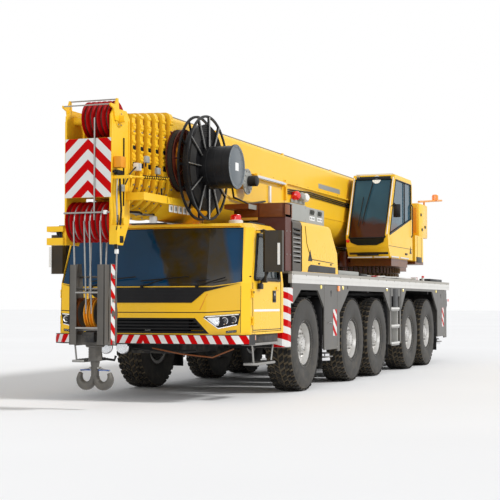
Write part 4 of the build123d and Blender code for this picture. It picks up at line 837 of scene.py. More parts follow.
def dress_deck():
    b = Builder("deck_fittings", "carrier")
    for _ in b.sides():
        # Covers' seams, catches, dark vent fins and a blank triangle
        b.path([(3.395, 1.4565, 1.86), (3.395, 1.4565, 2.57)], 0.006, "black", 6)
        b.path([(3.22, 1.4565, 2.57), (3.14, 1.4565, 2.3), (3.0, 1.4565, 2.14), (2.9, 1.4565, 2.06),
                (1.72, 1.4565, 2.03)], 0.006, "black", 6)
        b.prism([(1.6, 1.858), (3.1, 1.858), (3.05, 1.94), (2.94, 1.975), (1.6, 1.96)], "y", *COVER_FACE,
                "black")
        for x in (1.8, 2.45):
            b.box((x, COVER_FACE[0], 1.99), (x + 0.1, COVER_FACE[1], 2.015), "black", 0.001)
        b.prism([(2.86, 2.03), (3.08, 2.03), (2.97, 2.21)], "y", *COVER_FACE, "black")
        for k in range(8):
            z = 2.005 + 0.07 * k
            b.box((3.44, 1.448, z), (3.8, 1.4585, z + 0.02), "steel" if k < 6 else "black", 0.002)
        # Grip plates along the walkway
        for low, high in ((-1.45, 1.15), (-2.95, -1.75)):
            b.box((low, 1.05, 1.8502), (high, 1.44, 1.856), "chassis")
    # Hoses that loop from the deck to the turning joint
    for k, look in enumerate(("rail", "white", "cowl", "red", "rail")):
        y = 1.18 + 0.05 * k
        b.path([(-0.6 - 0.2 * k, y, 1.868), (-1.1 - 0.2 * k, y + 0.02, 1.882), (-1.9, y - 0.02, 1.87),
                (-2.8, y + 0.02, 1.88), (-3.5 - 0.1 * k, y, 1.87), (-4.3, y - 0.03, 1.88),
                (-4.9, y, 1.868)], 0.017, look)
    # Boxes on the deck, post with a red lamp
    b.box((0.1, 1.02, DECK_TOP), (1.35, 1.44, 1.925), "cowl", 0.008)
    b.box((-0.55, 1.16, DECK_TOP), (-0.1, 1.42, 1.9), "black", 0.008)
    b.box((-4.62, 1.34, DECK_TOP), (-4.3, 1.46, 1.91), "white", 0.006)
    b.box((-4.42, 1.34, DECK_TOP), (-4.36, 1.462, 1.915), "red", 0.004)
    b.box((-7.0, 1.04, DECK_TOP), (-5.75, 1.44, 1.91), "black", 0.01)
    b.box((-7.55, -1.38, DECK_TOP), (-7.05, -0.7, 1.94), "chassis", 0.01)
    b.rod((-5.55, 1.32, 1.85), (-5.55, 1.32, 1.93), 0.03, "white")
    b.rod((-5.55, 1.32, 1.93), (-5.55, 1.32, 1.97), 0.03, "lamp_red")
    b.done("deck")


def dress_cowl():
    b = Builder("cowl_fittings", "carrier")
    b.box((2.5, 0.615, 2.8402), (4.46, 0.965, 2.846), "brown")
    b.box((2.482, 0.598, 2.775), (4.482, 0.5995, 2.835), "brown")
    b.box((4.4802, 0.602, 2.772), (4.4835, 0.988, 2.838), "brown")
    # Oval steel rings, each over a white plate with three studs
    for x in (2.3, 2.7):
        oval = []
        for k in range(28):
            angle = math.tau * k / 28
            shift = math.copysign(0.085, math.cos(angle))
            oval.append(around(x + shift, 1.401, 2.82, 0.045, angle))
        b.path(oval + oval[:1], 0.008, "steel")
        b.box((x - 0.13, 1.4002, 2.69), (x + 0.13, 1.404, 2.755), "white")
        for stud_x in (x - 0.08, x, x + 0.08):
            b.rod((stud_x, 1.403, 2.722), (stud_x, 1.4055, 2.722), 0.018, "black", 16)
    b.box((4.125, 0.62, 2.66), (4.145, 1.44, 2.87), "brown", 0.003)
    b.box((3.8, 1.425, 2.66), (4.145, 1.44, 2.87), "brown", 0.003)
    b.box((3.8, 0.62, 2.852), (4.145, 1.44, 2.872), "brown", 0.003)
    for y in (0.64, 1.02, 1.41):
        b.box((4.146, y, 2.67), (4.152, y + 0.012, 2.86), "dark_red")
    cowl_bolts = [(x, z, 1.44, 1.446) for x in (3.9, 4.06) for z in (2.1, 2.45)]
    cowl_bolts += [(x, z, 1.419, 1.4235) for x in (3.1, 3.76) for z in (2.67, 2.86)]
    for x, z, low, high in cowl_bolts:
        b.rod((x, low, z), (x, high, z), 0.012, "steel", 6)
    b.done("cowl")


# Boom
MOTOR = (3.45, 3.28)
DRIVE_HUB = (4.26, 3.3)
HOSE_REEL = (5.96, 3.34)
CABLE_REEL = (5.7, 3.255)
SECTION_TOP = 3.95
PIN_X = 7.42
FALL_PITCH = 0.076
FALL_SHEAVES = (1, 3, 4, 6)


def dress_boom_base():
    b = Builder("boom_side_fittings", "boom_base")
    # Rope over the boom, in its guides
    b.path([(-5.55, 0.36, 3.976), (5.95, 0.36, 3.976)], 0.0095, "steel")
    for x in (1.24, -1.6, 4.3):
        for y in (0.32, 0.375):
            b.box((x - 0.04, y, 3.948), (x + 0.04, y + 0.025, 3.986), "yellow", 0.003)
    # Grey stripe, rod in its brackets, motor and plates on the left side
    b.box((-1.98, 0.4652, 3.53), (-0.58, 0.4672, 3.62), "cowl")
    b.rod((1.5, 0.515, 3.42), (2.9, 0.515, 3.42), 0.032, "chrome", 20)
    for x in (1.48, 2.86):
        b.box((x, 0.464, 3.37), (x + 0.07, 0.545, 3.465), "yellow", 0.006)
    x, z = MOTOR
    b.rod((x, 0.464, z), (x, 0.565, z), 0.11, "yellow", 28)
    b.lathe([(TIP, 0.025), (0.12, 0.025), (0.13, 0.018), (0.205, 0.018), (0.205, 0.0), (TIP, 0.0)],
            (x, 0.565, z), "y", 44, "cowl")
    b.bolts(10, x, z, 0.17, 0.583, 0.596, 0.013, "steel")
    b.lathe([(TIP, 0.17), (0.06, 0.17), (0.085, 0.155), (0.085, 0.03), (TIP, 0.02)], (3.42, 0.57, 3.29),
            "y", 28, "chassis")
    b.box((2.12, 0.464, 3.05), (2.2, 0.5, 3.33), "white", 0.006)
    b.box((1.34, 0.464, 3.15), (1.4, 0.512, 3.5), "yellow", 0.006)
    # Lamp cluster
    b.box((0.34, 0.476, 3.14), (1.08, 0.5, 3.2), "cowl", 0.005)
    for x, look in ((0.42, "white"), (0.66, "cowl"), (0.92, "lamp_red")):
        b.lathe([(TIP, 0.13), (0.05, 0.125), (0.078, 0.09), (0.08, 0.02), (0.06, 0.0), (TIP, -0.01)],
                (x, 0.487, 3.265), (0.5, 1, 0), 28, look)
    # Hoses and cables that run along under the rail
    for z in (3.4, 3.365, 3.33):
        b.path([(-4.3, 0.48, z - 0.25), (-3.0, 0.482, z - 0.03), (0.0, 0.48, z), (1.3, 0.482, z - 0.05)],
               0.011, "black")
    for k in range(14):
        x = -4.2 + 0.62 * k
        b.box((x, 0.5, 3.4751), (x + 0.05, 0.503, 3.482), "black")
    # Windings and rims of the hose reel, drive hub of the cable reel and two cables
    x, z = HOSE_REEL
    for k in range(8):
        inner = 0.2 + 0.028 * k
        outer = inner + 0.027
        b.lathe([(outer, 0.006), (outer, 0.07), (inner, 0.07), (inner, 0.006)], (x, 0.525, z), "y", 48,
                "rubber", close=True)
    b.spokes(8, x, 0.63, z, 0.12, 0.425, 0.012, "dark_red")
    for y in (0.519, 0.619):
        b.lathe([(0.431, -0.009), (0.431, 0.009), (0.36, 0.0105), (0.36, -0.0105)], (x, y, z), "y", 72,
                "dark_red", close=True)
    x, z = DRIVE_HUB
    b.lathe([(TIP, 0.036), (0.05, 0.036), (0.06, 0.026), (0.06, 0.02), (0.14, 0.02), (0.146, 0.012)],
            (x, 0.79, z), "y", 40, "cowl")
    b.bolts(8, x, z, 0.12, 0.79, 0.822, 0.011, "steel")
    b.path([(4.26, 0.62, 3.4), (4.6, 0.56, 3.62), (5.1, 0.5, 3.64), (5.5, 0.49, 3.5)], 0.018, "black")
    b.path([(4.2, 0.6, 3.2), (3.9, 0.52, 3.0), (3.2, 0.49, 2.95), (2.4, 0.485, 3.05)], 0.016, "black")
    b.done("yellow")


def dress_collar(number, body):
    """Black blocks, round ribs and bolts on the collar at one section's front."""
    half, top = 0.465 - 0.03 * number, SECTION_TOP - 0.025 * number
    front = 6.23 + 0.17 * number
    b = Builder(f"collar_fittings_{number}", body)
    for _ in b.sides():
        y = half + 0.032
        for z in (3.4, 3.18):
            b.box((front - 0.085, y, z - 0.035), (front - 0.02, y + 0.012, z + 0.035), "black", 0.004)
        for k in range(8):
            z = 3.02 + 0.115 * k
            b.rod((front - 0.088, half + 0.026, z), (front - 0.004, half + 0.026, z), 0.023, "boom_yellow",
                  10)
        for z in (3.62, 3.02, 2.92):
            b.rod((front - 0.052, y - 0.004, z), (front - 0.052, y + 0.01, z), 0.014, "steel", 6)
    for k in range(4):
        y = -half * 0.6 + half * 0.4 * k
        b.box((front - 0.085, y - 0.03, top + 0.0315), (front - 0.02, y + 0.03, top + 0.034), "orange")
        b.rod((front - 0.0005, y, top), (front + 0.006, y, top), 0.011, "steel", 6)
    radius = half + 0.015
    for degrees in range(200, 345, 20):
        turn = math.radians(degrees)
        y, z = radius * math.cos(turn), 3.005 + radius * math.sin(turn)
        b.rod((front - 0.001, y, z), (front + 0.007, y, z), 0.012, "steel", 6)
    b.done("yellow")


def dress_collars():
    for number in range(6):
        dress_collar(number, f"boom_{number}" if number else "boom_base")


def dress_head():
    b = Builder("head_fittings", "boom_6")
    b.box((7.6402, -0.328, 2.712), (7.6435, 0.328, 3.468), "chevron")
    b.rod((7.655, 0.1, 2.42), (7.655, 0.1, 3.73), 0.011, "steel")
    # Plates' stiffening ribs and bolts
    for _ in b.sides():
        for x0, z0, x1, z1 in ((7.13, 2.46, 7.155, 3.74), (7.61, 2.15, 7.638, 3.7)):
            b.box((x0, 0.3302, z0), (x1, 0.337, z1), "yellow")
        for z in (2.41, 3.73):
            b.lathe([(0.056, 0.003), (0.105, 0.003), (0.11, 0.0), (0.11, -0.001)], (PIN_X, 0.334, z), "y",
                    40, "yellow")
            b.bolts(6, PIN_X, z, 0.085, 0.334, 0.345, 0.009, "steel")
        b.path([(7.3, 0.338, 2.62), (7.3, 0.338, 3.5)], 0.01, "black")
    b.box((7.46, 0.3375, 3.09), (7.6, 0.45, 3.23), "orange", 0.006)
    b.box((7.42, 0.3375, 3.0), (7.58, 0.4, 3.06), "black", 0.008)
    b.rod((7.6, 0.37, 3.03), (7.66, 0.37, 3.03), 0.014, "black")
    b.path([(7.5, 0.38, 3.0), (7.52, 0.4, 2.8), (7.46, 0.385, 2.55), (7.5, 0.39, 2.36)], 0.014, "black")
    b.path([(7.54, 0.37, 3.0), (7.58, 0.38, 2.75), (7.55, 0.37, 2.5), (7.56, 0.38, 2.36)], 0.01, "steel")
    # Sensors under the left plate
    b.box((7.47, 0.335, 2.13), (7.57, 0.43, 2.22), "black", 0.012)
    b.box((7.58, 0.345, 2.16), (7.63, 0.4, 2.26), "white", 0.008)
    b.rod((7.6, 0.38, 2.05), (7.6, 0.38, 2.14), 0.02, "black")
    b.box((7.55, 0.36, 1.99), (7.6, 0.4, 2.05), "white", 0.006)
    b.path([(7.6, 0.39, 2.24), (7.64, 0.41, 2.3), (7.62, 0.42, 2.4), (7.58, 0.4, 2.48)], 0.009, "black")
    # Rope clamp bar over the lower sheaves
    b.rod((7.675, -0.325, 2.515), (7.675, 0.325, 2.515), 0.012, "steel")
    b.box((7.65, 0.25, 2.49), (7.7, 0.29, 2.54), "white", 0.006)
    # Plates and boxes behind the guide beam, white squares below it
    b.box((5.62, 0.535, 2.703), (6.5, 0.59, 2.797), "yellow", 0.004)
    for k in range(5):
        x = 5.66 + 0.155 * k
        b.box((x, 0.56, 2.6), (x + 0.11, 0.575, 2.698), "white", 0.004)
        b.box((x + 0.025, 0.5755, 2.622), (x + 0.085, 0.577, 2.676), "cowl")
    b.rod((6.43, 0.575, 3.045), (7.62, 0.575, 2.965), 0.012, "yellow")
    b.box((7.56, 0.325, 2.945), (7.6, 0.588, 2.985), "yellow", 0.003)
    # Cable wound round the guide rod
    twist = []
    for k in range(60):
        x, turn = 6.5 + 0.012 * k, 1.1 * k
        twist.append((x, 0.575 + 0.021 * math.cos(turn),
                      3.041 - (x - 6.5) * 0.067 + 0.021 * math.sin(turn)))
    b.path(twist, 0.006, "black", 6)
    b.path([(7.05, 0.3, 2.56), (6.85, 0.34, 2.57), (6.6, 0.28, 2.555), (6.35, 0.32, 2.57)], 0.014, "black")
    b.path([(7.08, 0.22, 2.56), (6.8, 0.26, 2.56), (6.55, 0.36, 2.55), (6.3, 0.3, 2.56)], 0.01, "steel")
    b.path([(7.12, 0.26, 2.6), (7.0, 0.3, 2.56), (6.7, 0.2, 2.56), (6.45, 0.28, 2.56)], 0.012, "cowl")
    b.box((6.33, 0.275, 2.455), (6.41, 0.365, 2.545), "white", 0.012)
    # Working lamps on the left side
    for x, y, z in ((6.72, 0.525, 3.12), (7.05, 0.52, 3.24), (7.42, 0.345, 2.84)):
        b.box((x - 0.05, y, z - 0.045), (x + 0.05, y + 0.05, z + 0.045), "cowl", 0.012)
        b.rod((x + 0.03, y + 0.025, z - 0.1), (x + 0.03, y + 0.025, z - 0.04), 0.01, "black")
    b.box((6.98, 0.36, 3.1), (7.08, 0.44, 3.2), "white", 0.01)
    b.path([(7.08, 0.4, 3.14), (7.2, 0.38, 3.05), (7.3, 0.36, 2.9)], 0.01, "black")
    b.rod((6.62, 0.56, 2.802), (6.62, 0.56, 2.9), 0.012, "black")
    # Hose bundle at the right plate's foot
    for k in range(3):
        b.path([(7.6, -0.36 - 0.03 * k, 2.36), (7.66, -0.37 - 0.03 * k, 2.28),
                (7.66, -0.36 - 0.02 * k, 2.12)], 0.013, "black")
    b.done("yellow")


def dress_sheaves():
    b = Builder("sheave_faces", "boom_6")
    for z, radius, count, middle in ((2.41, 0.265, 8, 0.0), (3.73, 0.24, 5, 0.1)):
        for number in range(count):
            y = middle + (number + 0.5 - count / 2) * FALL_PITCH
            look = "steel" if count == 8 and number in FALL_SHEAVES else "dark_red"
            b.lathe([(radius - 0.0285, 0.0105), (radius - 0.024, 0.0), (radius - 0.0285, -0.0105)],
                    (PIN_X, y, z), "y", 64, look)
    b.done("red")


def dress_block():
    b = Builder("hook_block_fittings", "hook_block")
    for _ in b.sides():
        b.prism([(7.365, 0.835), (7.365, 1.86), (7.475, 1.86), (7.475, 0.835)], "y", 0.2502, 0.253,
                "side_tape")
        for z in (0.86, 1.4, 1.7):
            b.rod((PIN_X, 0.2525, z), (PIN_X, 0.268, z), 0.024, "steel", 6)
    for number in FALL_SHEAVES:
        y = (number + 0.5 - 4) * FALL_PITCH
        b.lathe([(0.1665, -0.025), (0.205, -0.027), (0.205, -0.018), (0.168, -0.008), (0.168, 0.008),
                 (0.205, 0.018), (0.205, 0.027), (0.1665, 0.025)], (PIN_X, y, 1.23), "y", 64,
                "orange" if number in (3, 4) else "brown", close=True)
    for x in (7.335, 7.505):
        for z, radius in ((1.02, 0.016), (1.55, 0.012)):
            b.rod((x, -0.235, z), (x, 0.235, z), radius, "steel")
    b.lathe([(0.0605, 0.0), (0.12, 0.0), (0.125, -0.012), (0.11, -0.03), (0.0605, -0.03)],
            (PIN_X, 0, 0.829), "z", 40, "hook_grey", close=True)
    for _ in b.sides():
        for x, y in ((7.645, 0.15), (7.52, 0.238)):
            b.box((x, y, 0.835), (7.658, 0.25, 1.855), "hook_grey", 0.003)
    for z in (1.5, 1.05):
        b.rod((7.652, -0.16, z), (7.652, 0.16, z), 0.013, "steel")
    b.box((7.54, -0.085, 0.865), (7.62, 0.085, 1.0), "chassis", 0.012)
    b.done("hook_grey")


def dress_hook():
    b = Builder("forged_hook", "hook")
    for _ in b.sides():
        b.horn((PIN_X, 0.122, 0.425))
    b.lathe([(0.052, 0.39), (0.052, 0.56), (0.06, 0.6), (0.06, 0.62), (0.085, 0.625), (0.085, 0.828),
             (0.06, 0.829), (0.06, 0.964), (0.09, 0.965), (0.09, 0.998), (TIP, 1.0)], (PIN_X, 0, 0), "z",
            48, "hook_grey")
    b.done("hook_grey", "ramshorn_hook")
    b = Builder("hook_latches", "hook")
    for _ in b.sides():
        b.path([(PIN_X, 0.055, 0.535), (PIN_X, 0.12, 0.515), (PIN_X, 0.205, 0.5)], 0.012, "steel")
        b.box((7.395, 0.055, 0.5), (7.445, 0.205, 0.512), "blue", 0.003)
        b.rod((7.385, 0.06, 0.535), (7.455, 0.06, 0.535), 0.014, "steel")
    for k in range(6):
        b.lathe([(0.0852, 0.0), (0.0852, 0.012), (0.088, 0.006)], (PIN_X, 0, 0.655 + 0.022 * k), "z", 40,
                "hook_grey", close=True)
    b.done("steel")


def dress_reel():
    b = Builder("reel_rims_and_cable", "cable_reel")
    x, z = CABLE_REEL
    for y in (0.71, 0.85):
        b.lathe([(0.7345, -0.011), (0.7345, 0.011), (0.722, 0.013), (0.715, 0.011), (0.7, 0.0108),
                 (0.7, -0.0108), (0.715, -0.011), (0.722, -0.013)], (x, y, z), "y", 96, "black", close=True)
    for k in range(7):
        radius = 0.43 + 0.026 * k
        b.lathe([(radius, 0.0), (radius + 0.012, 0.01), (radius + 0.024, 0.0)], (x, 0.8402, z), "y", 72,
                "rubber")
    for y in (0.8715, 0.6985):
        b.spokes(12, x, y, z, 0.3, 0.715, 0.0085, "steel", 6)
    end = 1.2802
    b.lathe([(TIP, 0.0), (0.3, 0.0), (0.306, -0.004), (0.306, 0.003), (0.27, 0.004), (0.265, 0.001)],
            (x, end, z), "y", 64, "reel_disc")
    b.bolts(14, x, z, 0.283, end, end + 0.01, 0.01, "steel", 8)
    b.box((5.64, end, 3.2), (5.76, end + 0.003, 3.31), "white")
    for y in (0.93, 1.05, 1.17):
        b.lathe([(0.2955, -0.006), (0.299, 0.0), (0.2955, 0.006)], (x, y, z), "y", 64, "black")
    b.done("black")


# Crane cab and upper works
CAB_SIDE = 1.4252
SIDE_WINDOW = [(-2.19, 2.73), (-2.7, 3.86), (-4.0, 3.86), (-4.01, 3.14)]
RAIL_Z = 3.98
PIVOT = (-6.3, 3.1)
RING_CENTRE = -3.96
RING_CIRCLE = 1.143


def crane_front(y, z, rise=0.0):
    """A point on the crane cab's front, whose screen leans back above the sill and in below it."""
    if z > 2.7:
        return (-2.06 - (z - 2.7) * 0.58 / 1.26 + rise, y, z)
    return (-2.06 - (2.7 - z) * 0.18 + rise, y, z)


def dress_seat(b):
    """Seat, consoles and levers."""
    b.box((-3.75, 0.76, 2.32), (-3.2, 1.24, 2.48), "black", 0.03)
    b.box((-3.72, 0.78, 2.48), (-3.18, 1.22, 2.62), "trim", 0.05)
    b.prism([(-3.72, 2.58), (-3.86, 3.2), (-3.76, 3.24), (-3.56, 2.62)], "y", 0.79, 1.21, "trim", 0.02)
    b.box((-3.86, 0.88, 3.22), (-3.77, 1.12, 3.44), "trim", 0.03)
    for y in (0.66, 1.26):
        lever = y + 0.045
        b.box((-3.6, y, 2.6), (-3.1, y + 0.09, 2.78), "black", 0.02)
        b.rod((-3.18, lever, 2.78), (-3.15, lever, 2.94), 0.012, "black")
        b.lathe([(TIP, 0.035), (0.02, 0.028), (0.027, 0.0), (0.014, -0.03)], (-3.15, lever, 2.94), "z", 16,
                "black")
    b.prism([(-2.5, 2.34), (-2.72, 2.72), (-2.62, 2.8), (-2.38, 2.52)], "y", 1.15, 1.34, "black", 0.01)
    b.box((-2.62, 0.64, 2.9), (-2.56, 0.9, 3.12), "black", 0.01)


def dress_window_frames(b):
    for y in (0.5635, 1.4265):
        b.surround([(x, y, z) for x, z in SIDE_WINDOW], 0.012, "black")
    b.path([(-3.42, 1.4265, 3.01), (-3.42, 1.4265, 3.86)], 0.012, "black")
    for y in (0.625, 1.365):
        b.path([crane_front(y, 2.66, 0.008), crane_front(y, 3.86, 0.008)], 0.014, "black")
    for y in (0.59, 1.4):
        b.path([crane_front(y, 2.72, 0.004), crane_front(y, 3.9, 0.004)], 0.011, "white")
    for z in (2.655, 3.865):
        b.path([crane_front(0.625, z, 0.008), crane_front(1.365, z, 0.008)], 0.014, "black")
    b.path([crane_front(1.0, 3.8, 0.03), crane_front(0.92, 3.3, 0.03), crane_front(0.88, 2.95, 0.03)], 0.01,
           "black")
    b.path([crane_front(0.8, 2.9, 0.028), crane_front(0.84, 3.5, 0.028)], 0.008, "black")


def dress_front_glass():
    b = Builder("crane_cab_front_glass", "crane_cab")
    (low_x, _, low_z), (high_x, _, high_z) = crane_front(1.0, 2.655, -0.006), crane_front(1.0, 3.868, -0.006)
    b.prism([(low_x, low_z), (high_x, high_z), (high_x - 0.008, high_z), (low_x - 0.008, low_z)], "y",
            0.612, 1.378, "crane_pane")
    b.done("glass")


def dress_crane_cab():
    b = Builder("crane_cab_fittings", "crane_cab")
    dress_seat(b)
    dress_window_frames(b)
    # Guard rails on the roof, side grip
    b.box((-2.86, 0.76, 3.9605), (-2.7, 0.92, 3.966), "white", 0.002)
    for x in (-2.75, -3.35, -3.95):
        b.rod((x, 1.36, 3.955), (x, 1.36, 3.982), 0.009, "white")
    for x0, y0, x1, y1 in ((-2.7, 1.36, -4.0, 1.36), (-2.7, 0.62, -4.0, 0.62), (-2.68, 0.6, -2.68, 1.38)):
        b.path([(x0, y0, RAIL_Z), (x1, y1, RAIL_Z)], 0.009, "white")
    b.path([(-4.02, 1.428, 2.75), (-4.02, 1.455, 2.8), (-4.02, 1.455, 3.4), (-4.02, 1.428, 3.45)], 0.011,
           "black")
    # Lower body: seam, steps, blank triangle, handle
    b.box((-4.12, CAB_SIDE, 2.494), (-2.12, 1.4275, 2.503), "black")
    for x0, x1 in ((-2.9, -2.3), (-3.75, -3.05)):
        b.box((x0, CAB_SIDE, 2.275), (x1, 1.44, 2.305), "rail", 0.004)
    b.prism([(-4.05, 2.4), (-3.86, 2.4), (-3.95, 2.56)], "y", CAB_SIDE, 1.428, "black")
    b.box((-3.66, CAB_SIDE, 2.36), (-3.46, 1.436, 2.4), "black", 0.004)
    # Lamps, dark bands over and under the screen, step plates below it
    b.lathe([(TIP, 0.02), (0.03, 0.016), (0.038, 0.0)], crane_front(0.6, 2.6), "x", 24, "lamp_red")
    b.lathe([(TIP, 0.03), (0.03, 0.022), (0.04, 0.0), (0.03, -0.03), (TIP, -0.04)], (-2.58, 0.68, 3.925),
            "x", 24, "clear")
    x = crane_front(1, 3.855)[0]
    b.prism([(0.64, 3.855), (1.35, 3.855), (1.35, 3.925), (0.64, 3.925)], "x", x - 0.03, x + 0.001, "gloss")
    x = crane_front(1, 2.66)[0]
    b.prism([(0.66, 2.57), (0.8, 2.51), (1.19, 2.51), (1.33, 2.57), (1.36, 2.665), (0.63, 2.665)], "x",
            x - 0.03, x + 0.003, "gloss")
    b.box((-2.165, 0.78, 2.305), (-2.125, 1.21, 2.335), "black", 0.004)
    for y0, y1 in ((0.58, 1.08), (1.12, 1.4)):
        b.box((-2.2, y0, 2.262), (-2.13, y1, 2.285), "rail", 0.004)
    b.lathe([(TIP, 0.008), (0.05, 0.006), (0.09, 0.0)], crane_front(1.06, 3.86, 0.004), (1, 0, 0.4), 28,
            "lamp_white")
    # Yellow panel that raises the sill of the side window towards the rear, mirror
    b.prism([(-2.34, 2.55), (-2.19, 2.71), (-4.02, 3.13), (-4.02, 2.98), (-3.2, 2.55)], "y", 1.4255, 1.4285,
            "yellow")
    b.path([(-2.2, 1.4295, 2.715), (-4.015, 1.4295, 3.135)], 0.008, "black")
    b.path([(-2.36, 1.43, 3.3), (-2.2, 1.52, 3.34), (-2.18, 1.56, 3.3)], 0.01, "black")
    b.box((-2.24, 1.5, 3.06), (-2.19, 1.64, 3.32), "black", 0.012)
    b.box((-2.2435, 1.515, 3.08), (-2.2405, 1.625, 3.3), "mirror")
    b.done("black")


def dress_upperworks():
    b = Builder("upperworks_fittings", "superstructure")
    # Cover of the boom's pivot and pins' ends on both sides
    for _ in b.sides():
        x, z = PIVOT
        b.lathe([(TIP, 0.03), (0.12, 0.03), (0.15, 0.02), (0.15, 0.0)], (x, 0.531, z), "y", 40, "steel")
        b.bolts(8, x, z, 0.12, 0.531, 0.572, 0.013, "steel")
        for x, z in ((-2.95, 2.3), (-3.6, 2.3), (-5.4, 2.9), (-6.8, 2.55)):
            b.rod((x, 0.531, z), (x, 0.54, z), 0.05, "dark_red", 24)
    # Bolts round the slewing ring
    for k in range(72):
        a = math.tau * k / 72
        x, y = RING_CENTRE + RING_CIRCLE * math.cos(a), RING_CIRCLE * math.sin(a)
        b.rod((x, y, 1.996), (x, y, 2.106), 0.02, "ring", 8)
    # Rope on the winch drum
    for k in range(30):
        b.lathe([(0.2002, -0.011), (0.2115, -0.006), (0.2145, 0.0), (0.2115, 0.006), (0.2002, 0.011)],
                (-6.95, -0.345 + 0.0235 * k, 2.62), "y", 40, "steel")
    # Doors and louvres of the right cabinet
    for k in range(9):
        z = 2.34 + 0.055 * k
        b.box((-4.1, -1.4045, z), (-3.45, -1.4002, z + 0.028), "trim", 0.001)
    for x in (-4.25, -4.8):
        b.box((x - 0.004, -1.4035, 2.22), (x + 0.004, -1.4002, 2.93), "black")
        b.box((x + 0.05, -1.412, 2.55), (x + 0.1, -1.4002, 2.62), "black", 0.004)
    # Tall cabinet behind the crane cab
    b.box((-5.7, 1.0, 2.8), (-4.88, 1.4, 3.55), "yellow", 0.03)
    b.box((-4.9, 1.06, 2.9), (-4.86, 1.34, 3.45), "orange", 0.006)
    for x, z in ((-5.05, 3.3), (-5.45, 3.05), (-5.15, 2.98)):
        b.box((x - 0.05, 1.401, z - 0.03), (x + 0.05, 1.412, z + 0.03), "black", 0.003)
    b.box((-5.02, 1.421, 2.24), (-4.5, 1.4235, 2.36), "black", 0.001)
    for x in (-4.98, -4.6):
        b.box((x - 0.004, 1.4202, 2.24), (x + 0.004, 1.4235, 2.8), "black")
    # Beacon arm and the two beacons
    b.path([(-4.92, 1.38, 3.58), (-7.3, 1.38, 3.79)], 0.022, "orange")
    b.lathe([(TIP, 0.0), (0.075, 0.0), (0.075, 0.1), (0.06, 0.13), (TIP, 0.14)], (-6.6, 1.38, 3.74), "z",
            24, "lamp_orange")
    b.path([(-5.45, 1.38, 3.54), (-5.45, 1.38, 3.63)], 0.02, "orange")
    b.rod((-7.24, 0.62, 3.4), (-7.24, 0.62, 3.44), 0.05, "black", 24)
    b.lathe([(0.045, 0.0), (0.045, 0.07), (0.035, 0.095), (TIP, 0.1)], (-7.24, 0.62, 3.44), "z", 24,
            "lamp_orange")
    # Hoses from the joint to the boom's foot
    for y in (-0.3, -0.21, -0.12, -0.03):
        b.path([(-4.9, y, 2.195), (-5.2, y, 2.42), (-5.5, y, 2.55), (-5.8, y, 2.62)], 0.02, "black")
    b.done("grey_frame")


def dress_cylinder():
    b = Builder("cylinder_fittings", "luffing_barrel")
    for x, radius, width in ((-0.15, 0.168, 0.06), (-3.82, 0.162, 0.05)):
        b.lathe([(0.1502, 0.0), (radius, 0.0), (radius, width), (0.1502, width)], (x, 0, 2.345), "x", 56,
                "yellow", close=True)
    b.path([(-3.75, 0.05, 2.5), (-3.6, 0.06, 2.512), (-0.4, 0.06, 2.512), (-0.2, 0.05, 2.5)], 0.016,
           "steel")
    b.done("yellow")


# Stage, light and camera
CAMERA_PLACE = (21.592, 7.525, 1.368)
CAMERA_YAW = 200.786
CAMERA_PITCH = 2.374
FOCAL_PIXELS = 1235.2
PICTURE_PIXELS = 500
PRINCIPAL = (251.2, 251.7)
SENSOR = 36.0
SUNS = [("key", (0.12, -0.78, -0.62), 2.15, 9.0), ("fill", (-0.9, -0.1, -0.35), 0.85, 40.0)]


def light_path_white(tree, plain, white):
    """Mixes in pure white for camera, glossy and transmission rays."""
    paths = tree.nodes.new("ShaderNodeLightPath")
    rays = paths.outputs["Is Camera Ray"]
    for other in ("Is Glossy Ray", "Is Transmission Ray"):
        add = tree.nodes.new("ShaderNodeMath")
        add.operation = "MAXIMUM"
        tree.links.new(rays, add.inputs[0])
        tree.links.new(paths.outputs[other], add.inputs[1])
        rays = add.outputs[0]
    mixer = tree.nodes.new("ShaderNodeMixShader")
    tree.links.new(rays, mixer.inputs[0])
    tree.links.new(plain, mixer.inputs[1])
    tree.links.new(white, mixer.inputs[2])
    return mixer.outputs[0]


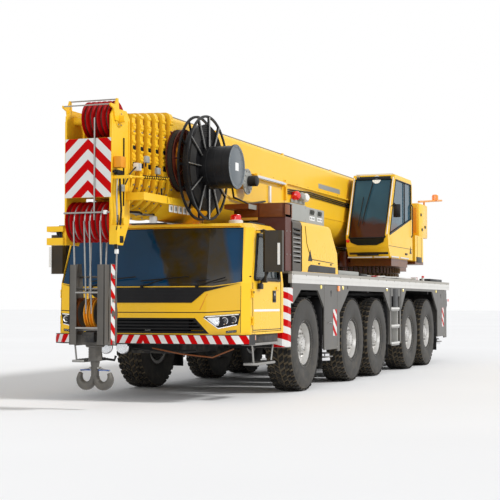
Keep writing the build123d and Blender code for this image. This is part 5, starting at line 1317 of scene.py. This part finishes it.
def make_stage():
    bpy.ops.mesh.primitive_plane_add(size=400, location=(0, 0, -0.002))
    floor = bpy.context.object
    floor.name = "studio_floor"
    s = Shade("studio_floor")
    tone = s.mix(s.span(s.noise(0.15, 2.0), 0.3, 0.7), (0.9, 0.9, 0.9), (0.93, 0.93, 0.93))
    s.set(Base_Color=tone, Roughness=0.9, IOR=1.2)
    floor.data.materials.append(s.material)
    world = bpy.data.worlds.new("studio")
    bpy.context.scene.world = world
    world.use_nodes = True
    tree = world.node_tree
    plain = tree.nodes["Background"]
    plain.inputs["Color"].default_value = (0.97, 0.98, 1.0, 1.0)
    plain.inputs["Strength"].default_value = 0.5
    white = tree.nodes.new("ShaderNodeBackground")
    white.inputs["Color"].default_value = (1, 1, 1, 1)
    white.inputs["Strength"].default_value = 1.0
    tree.links.new(light_path_white(tree, plain.outputs[0], white.outputs[0]),
                   tree.nodes["World Output"].inputs["Surface"])
    for name, toward, strength, spread in SUNS:
        sun = bpy.data.lights.new(name, "SUN")
        sun.energy = strength
        sun.angle = math.radians(spread)
        made = bpy.data.objects.new(name, sun)
        made.rotation_euler = Vector(toward).to_track_quat("-Z", "Y").to_euler()
        bpy.context.scene.collection.objects.link(made)


def make_camera():
    camera = bpy.data.cameras.new("photo_camera")
    camera.sensor_width = SENSOR
    camera.lens = FOCAL_PIXELS / PICTURE_PIXELS * SENSOR
    camera.shift_x = -(PRINCIPAL[0] - PICTURE_PIXELS / 2) / PICTURE_PIXELS
    camera.shift_y = (PRINCIPAL[1] - PICTURE_PIXELS / 2) / PICTURE_PIXELS
    camera.clip_end = 500
    made = bpy.data.objects.new("photo_camera", camera)
    yaw, pitch = math.radians(CAMERA_YAW), math.radians(CAMERA_PITCH)
    ahead = Vector((math.cos(pitch) * math.cos(yaw), math.cos(pitch) * math.sin(yaw), math.sin(pitch)))
    made.location = CAMERA_PLACE
    made.rotation_euler = ahead.to_track_quat("-Z", "Y").to_euler()
    bpy.context.scene.collection.objects.link(made)
    bpy.context.scene.camera = made
    bpy.context.scene.view_settings.view_transform = "Standard"



make_materials()
dress_nodes()
for dress in (dress_wheels, dress_cab_front, dress_cab_roof, dress_fenders, dress_doors, dress_cab_inside,
              dress_sides, dress_outriggers, dress_deck, dress_cowl, dress_boom_base, dress_collars,
              dress_head, dress_sheaves, dress_block, dress_hook, dress_reel, dress_front_glass,
              dress_crane_cab, dress_upperworks, dress_cylinder):
    dress()
make_stage()
make_camera()
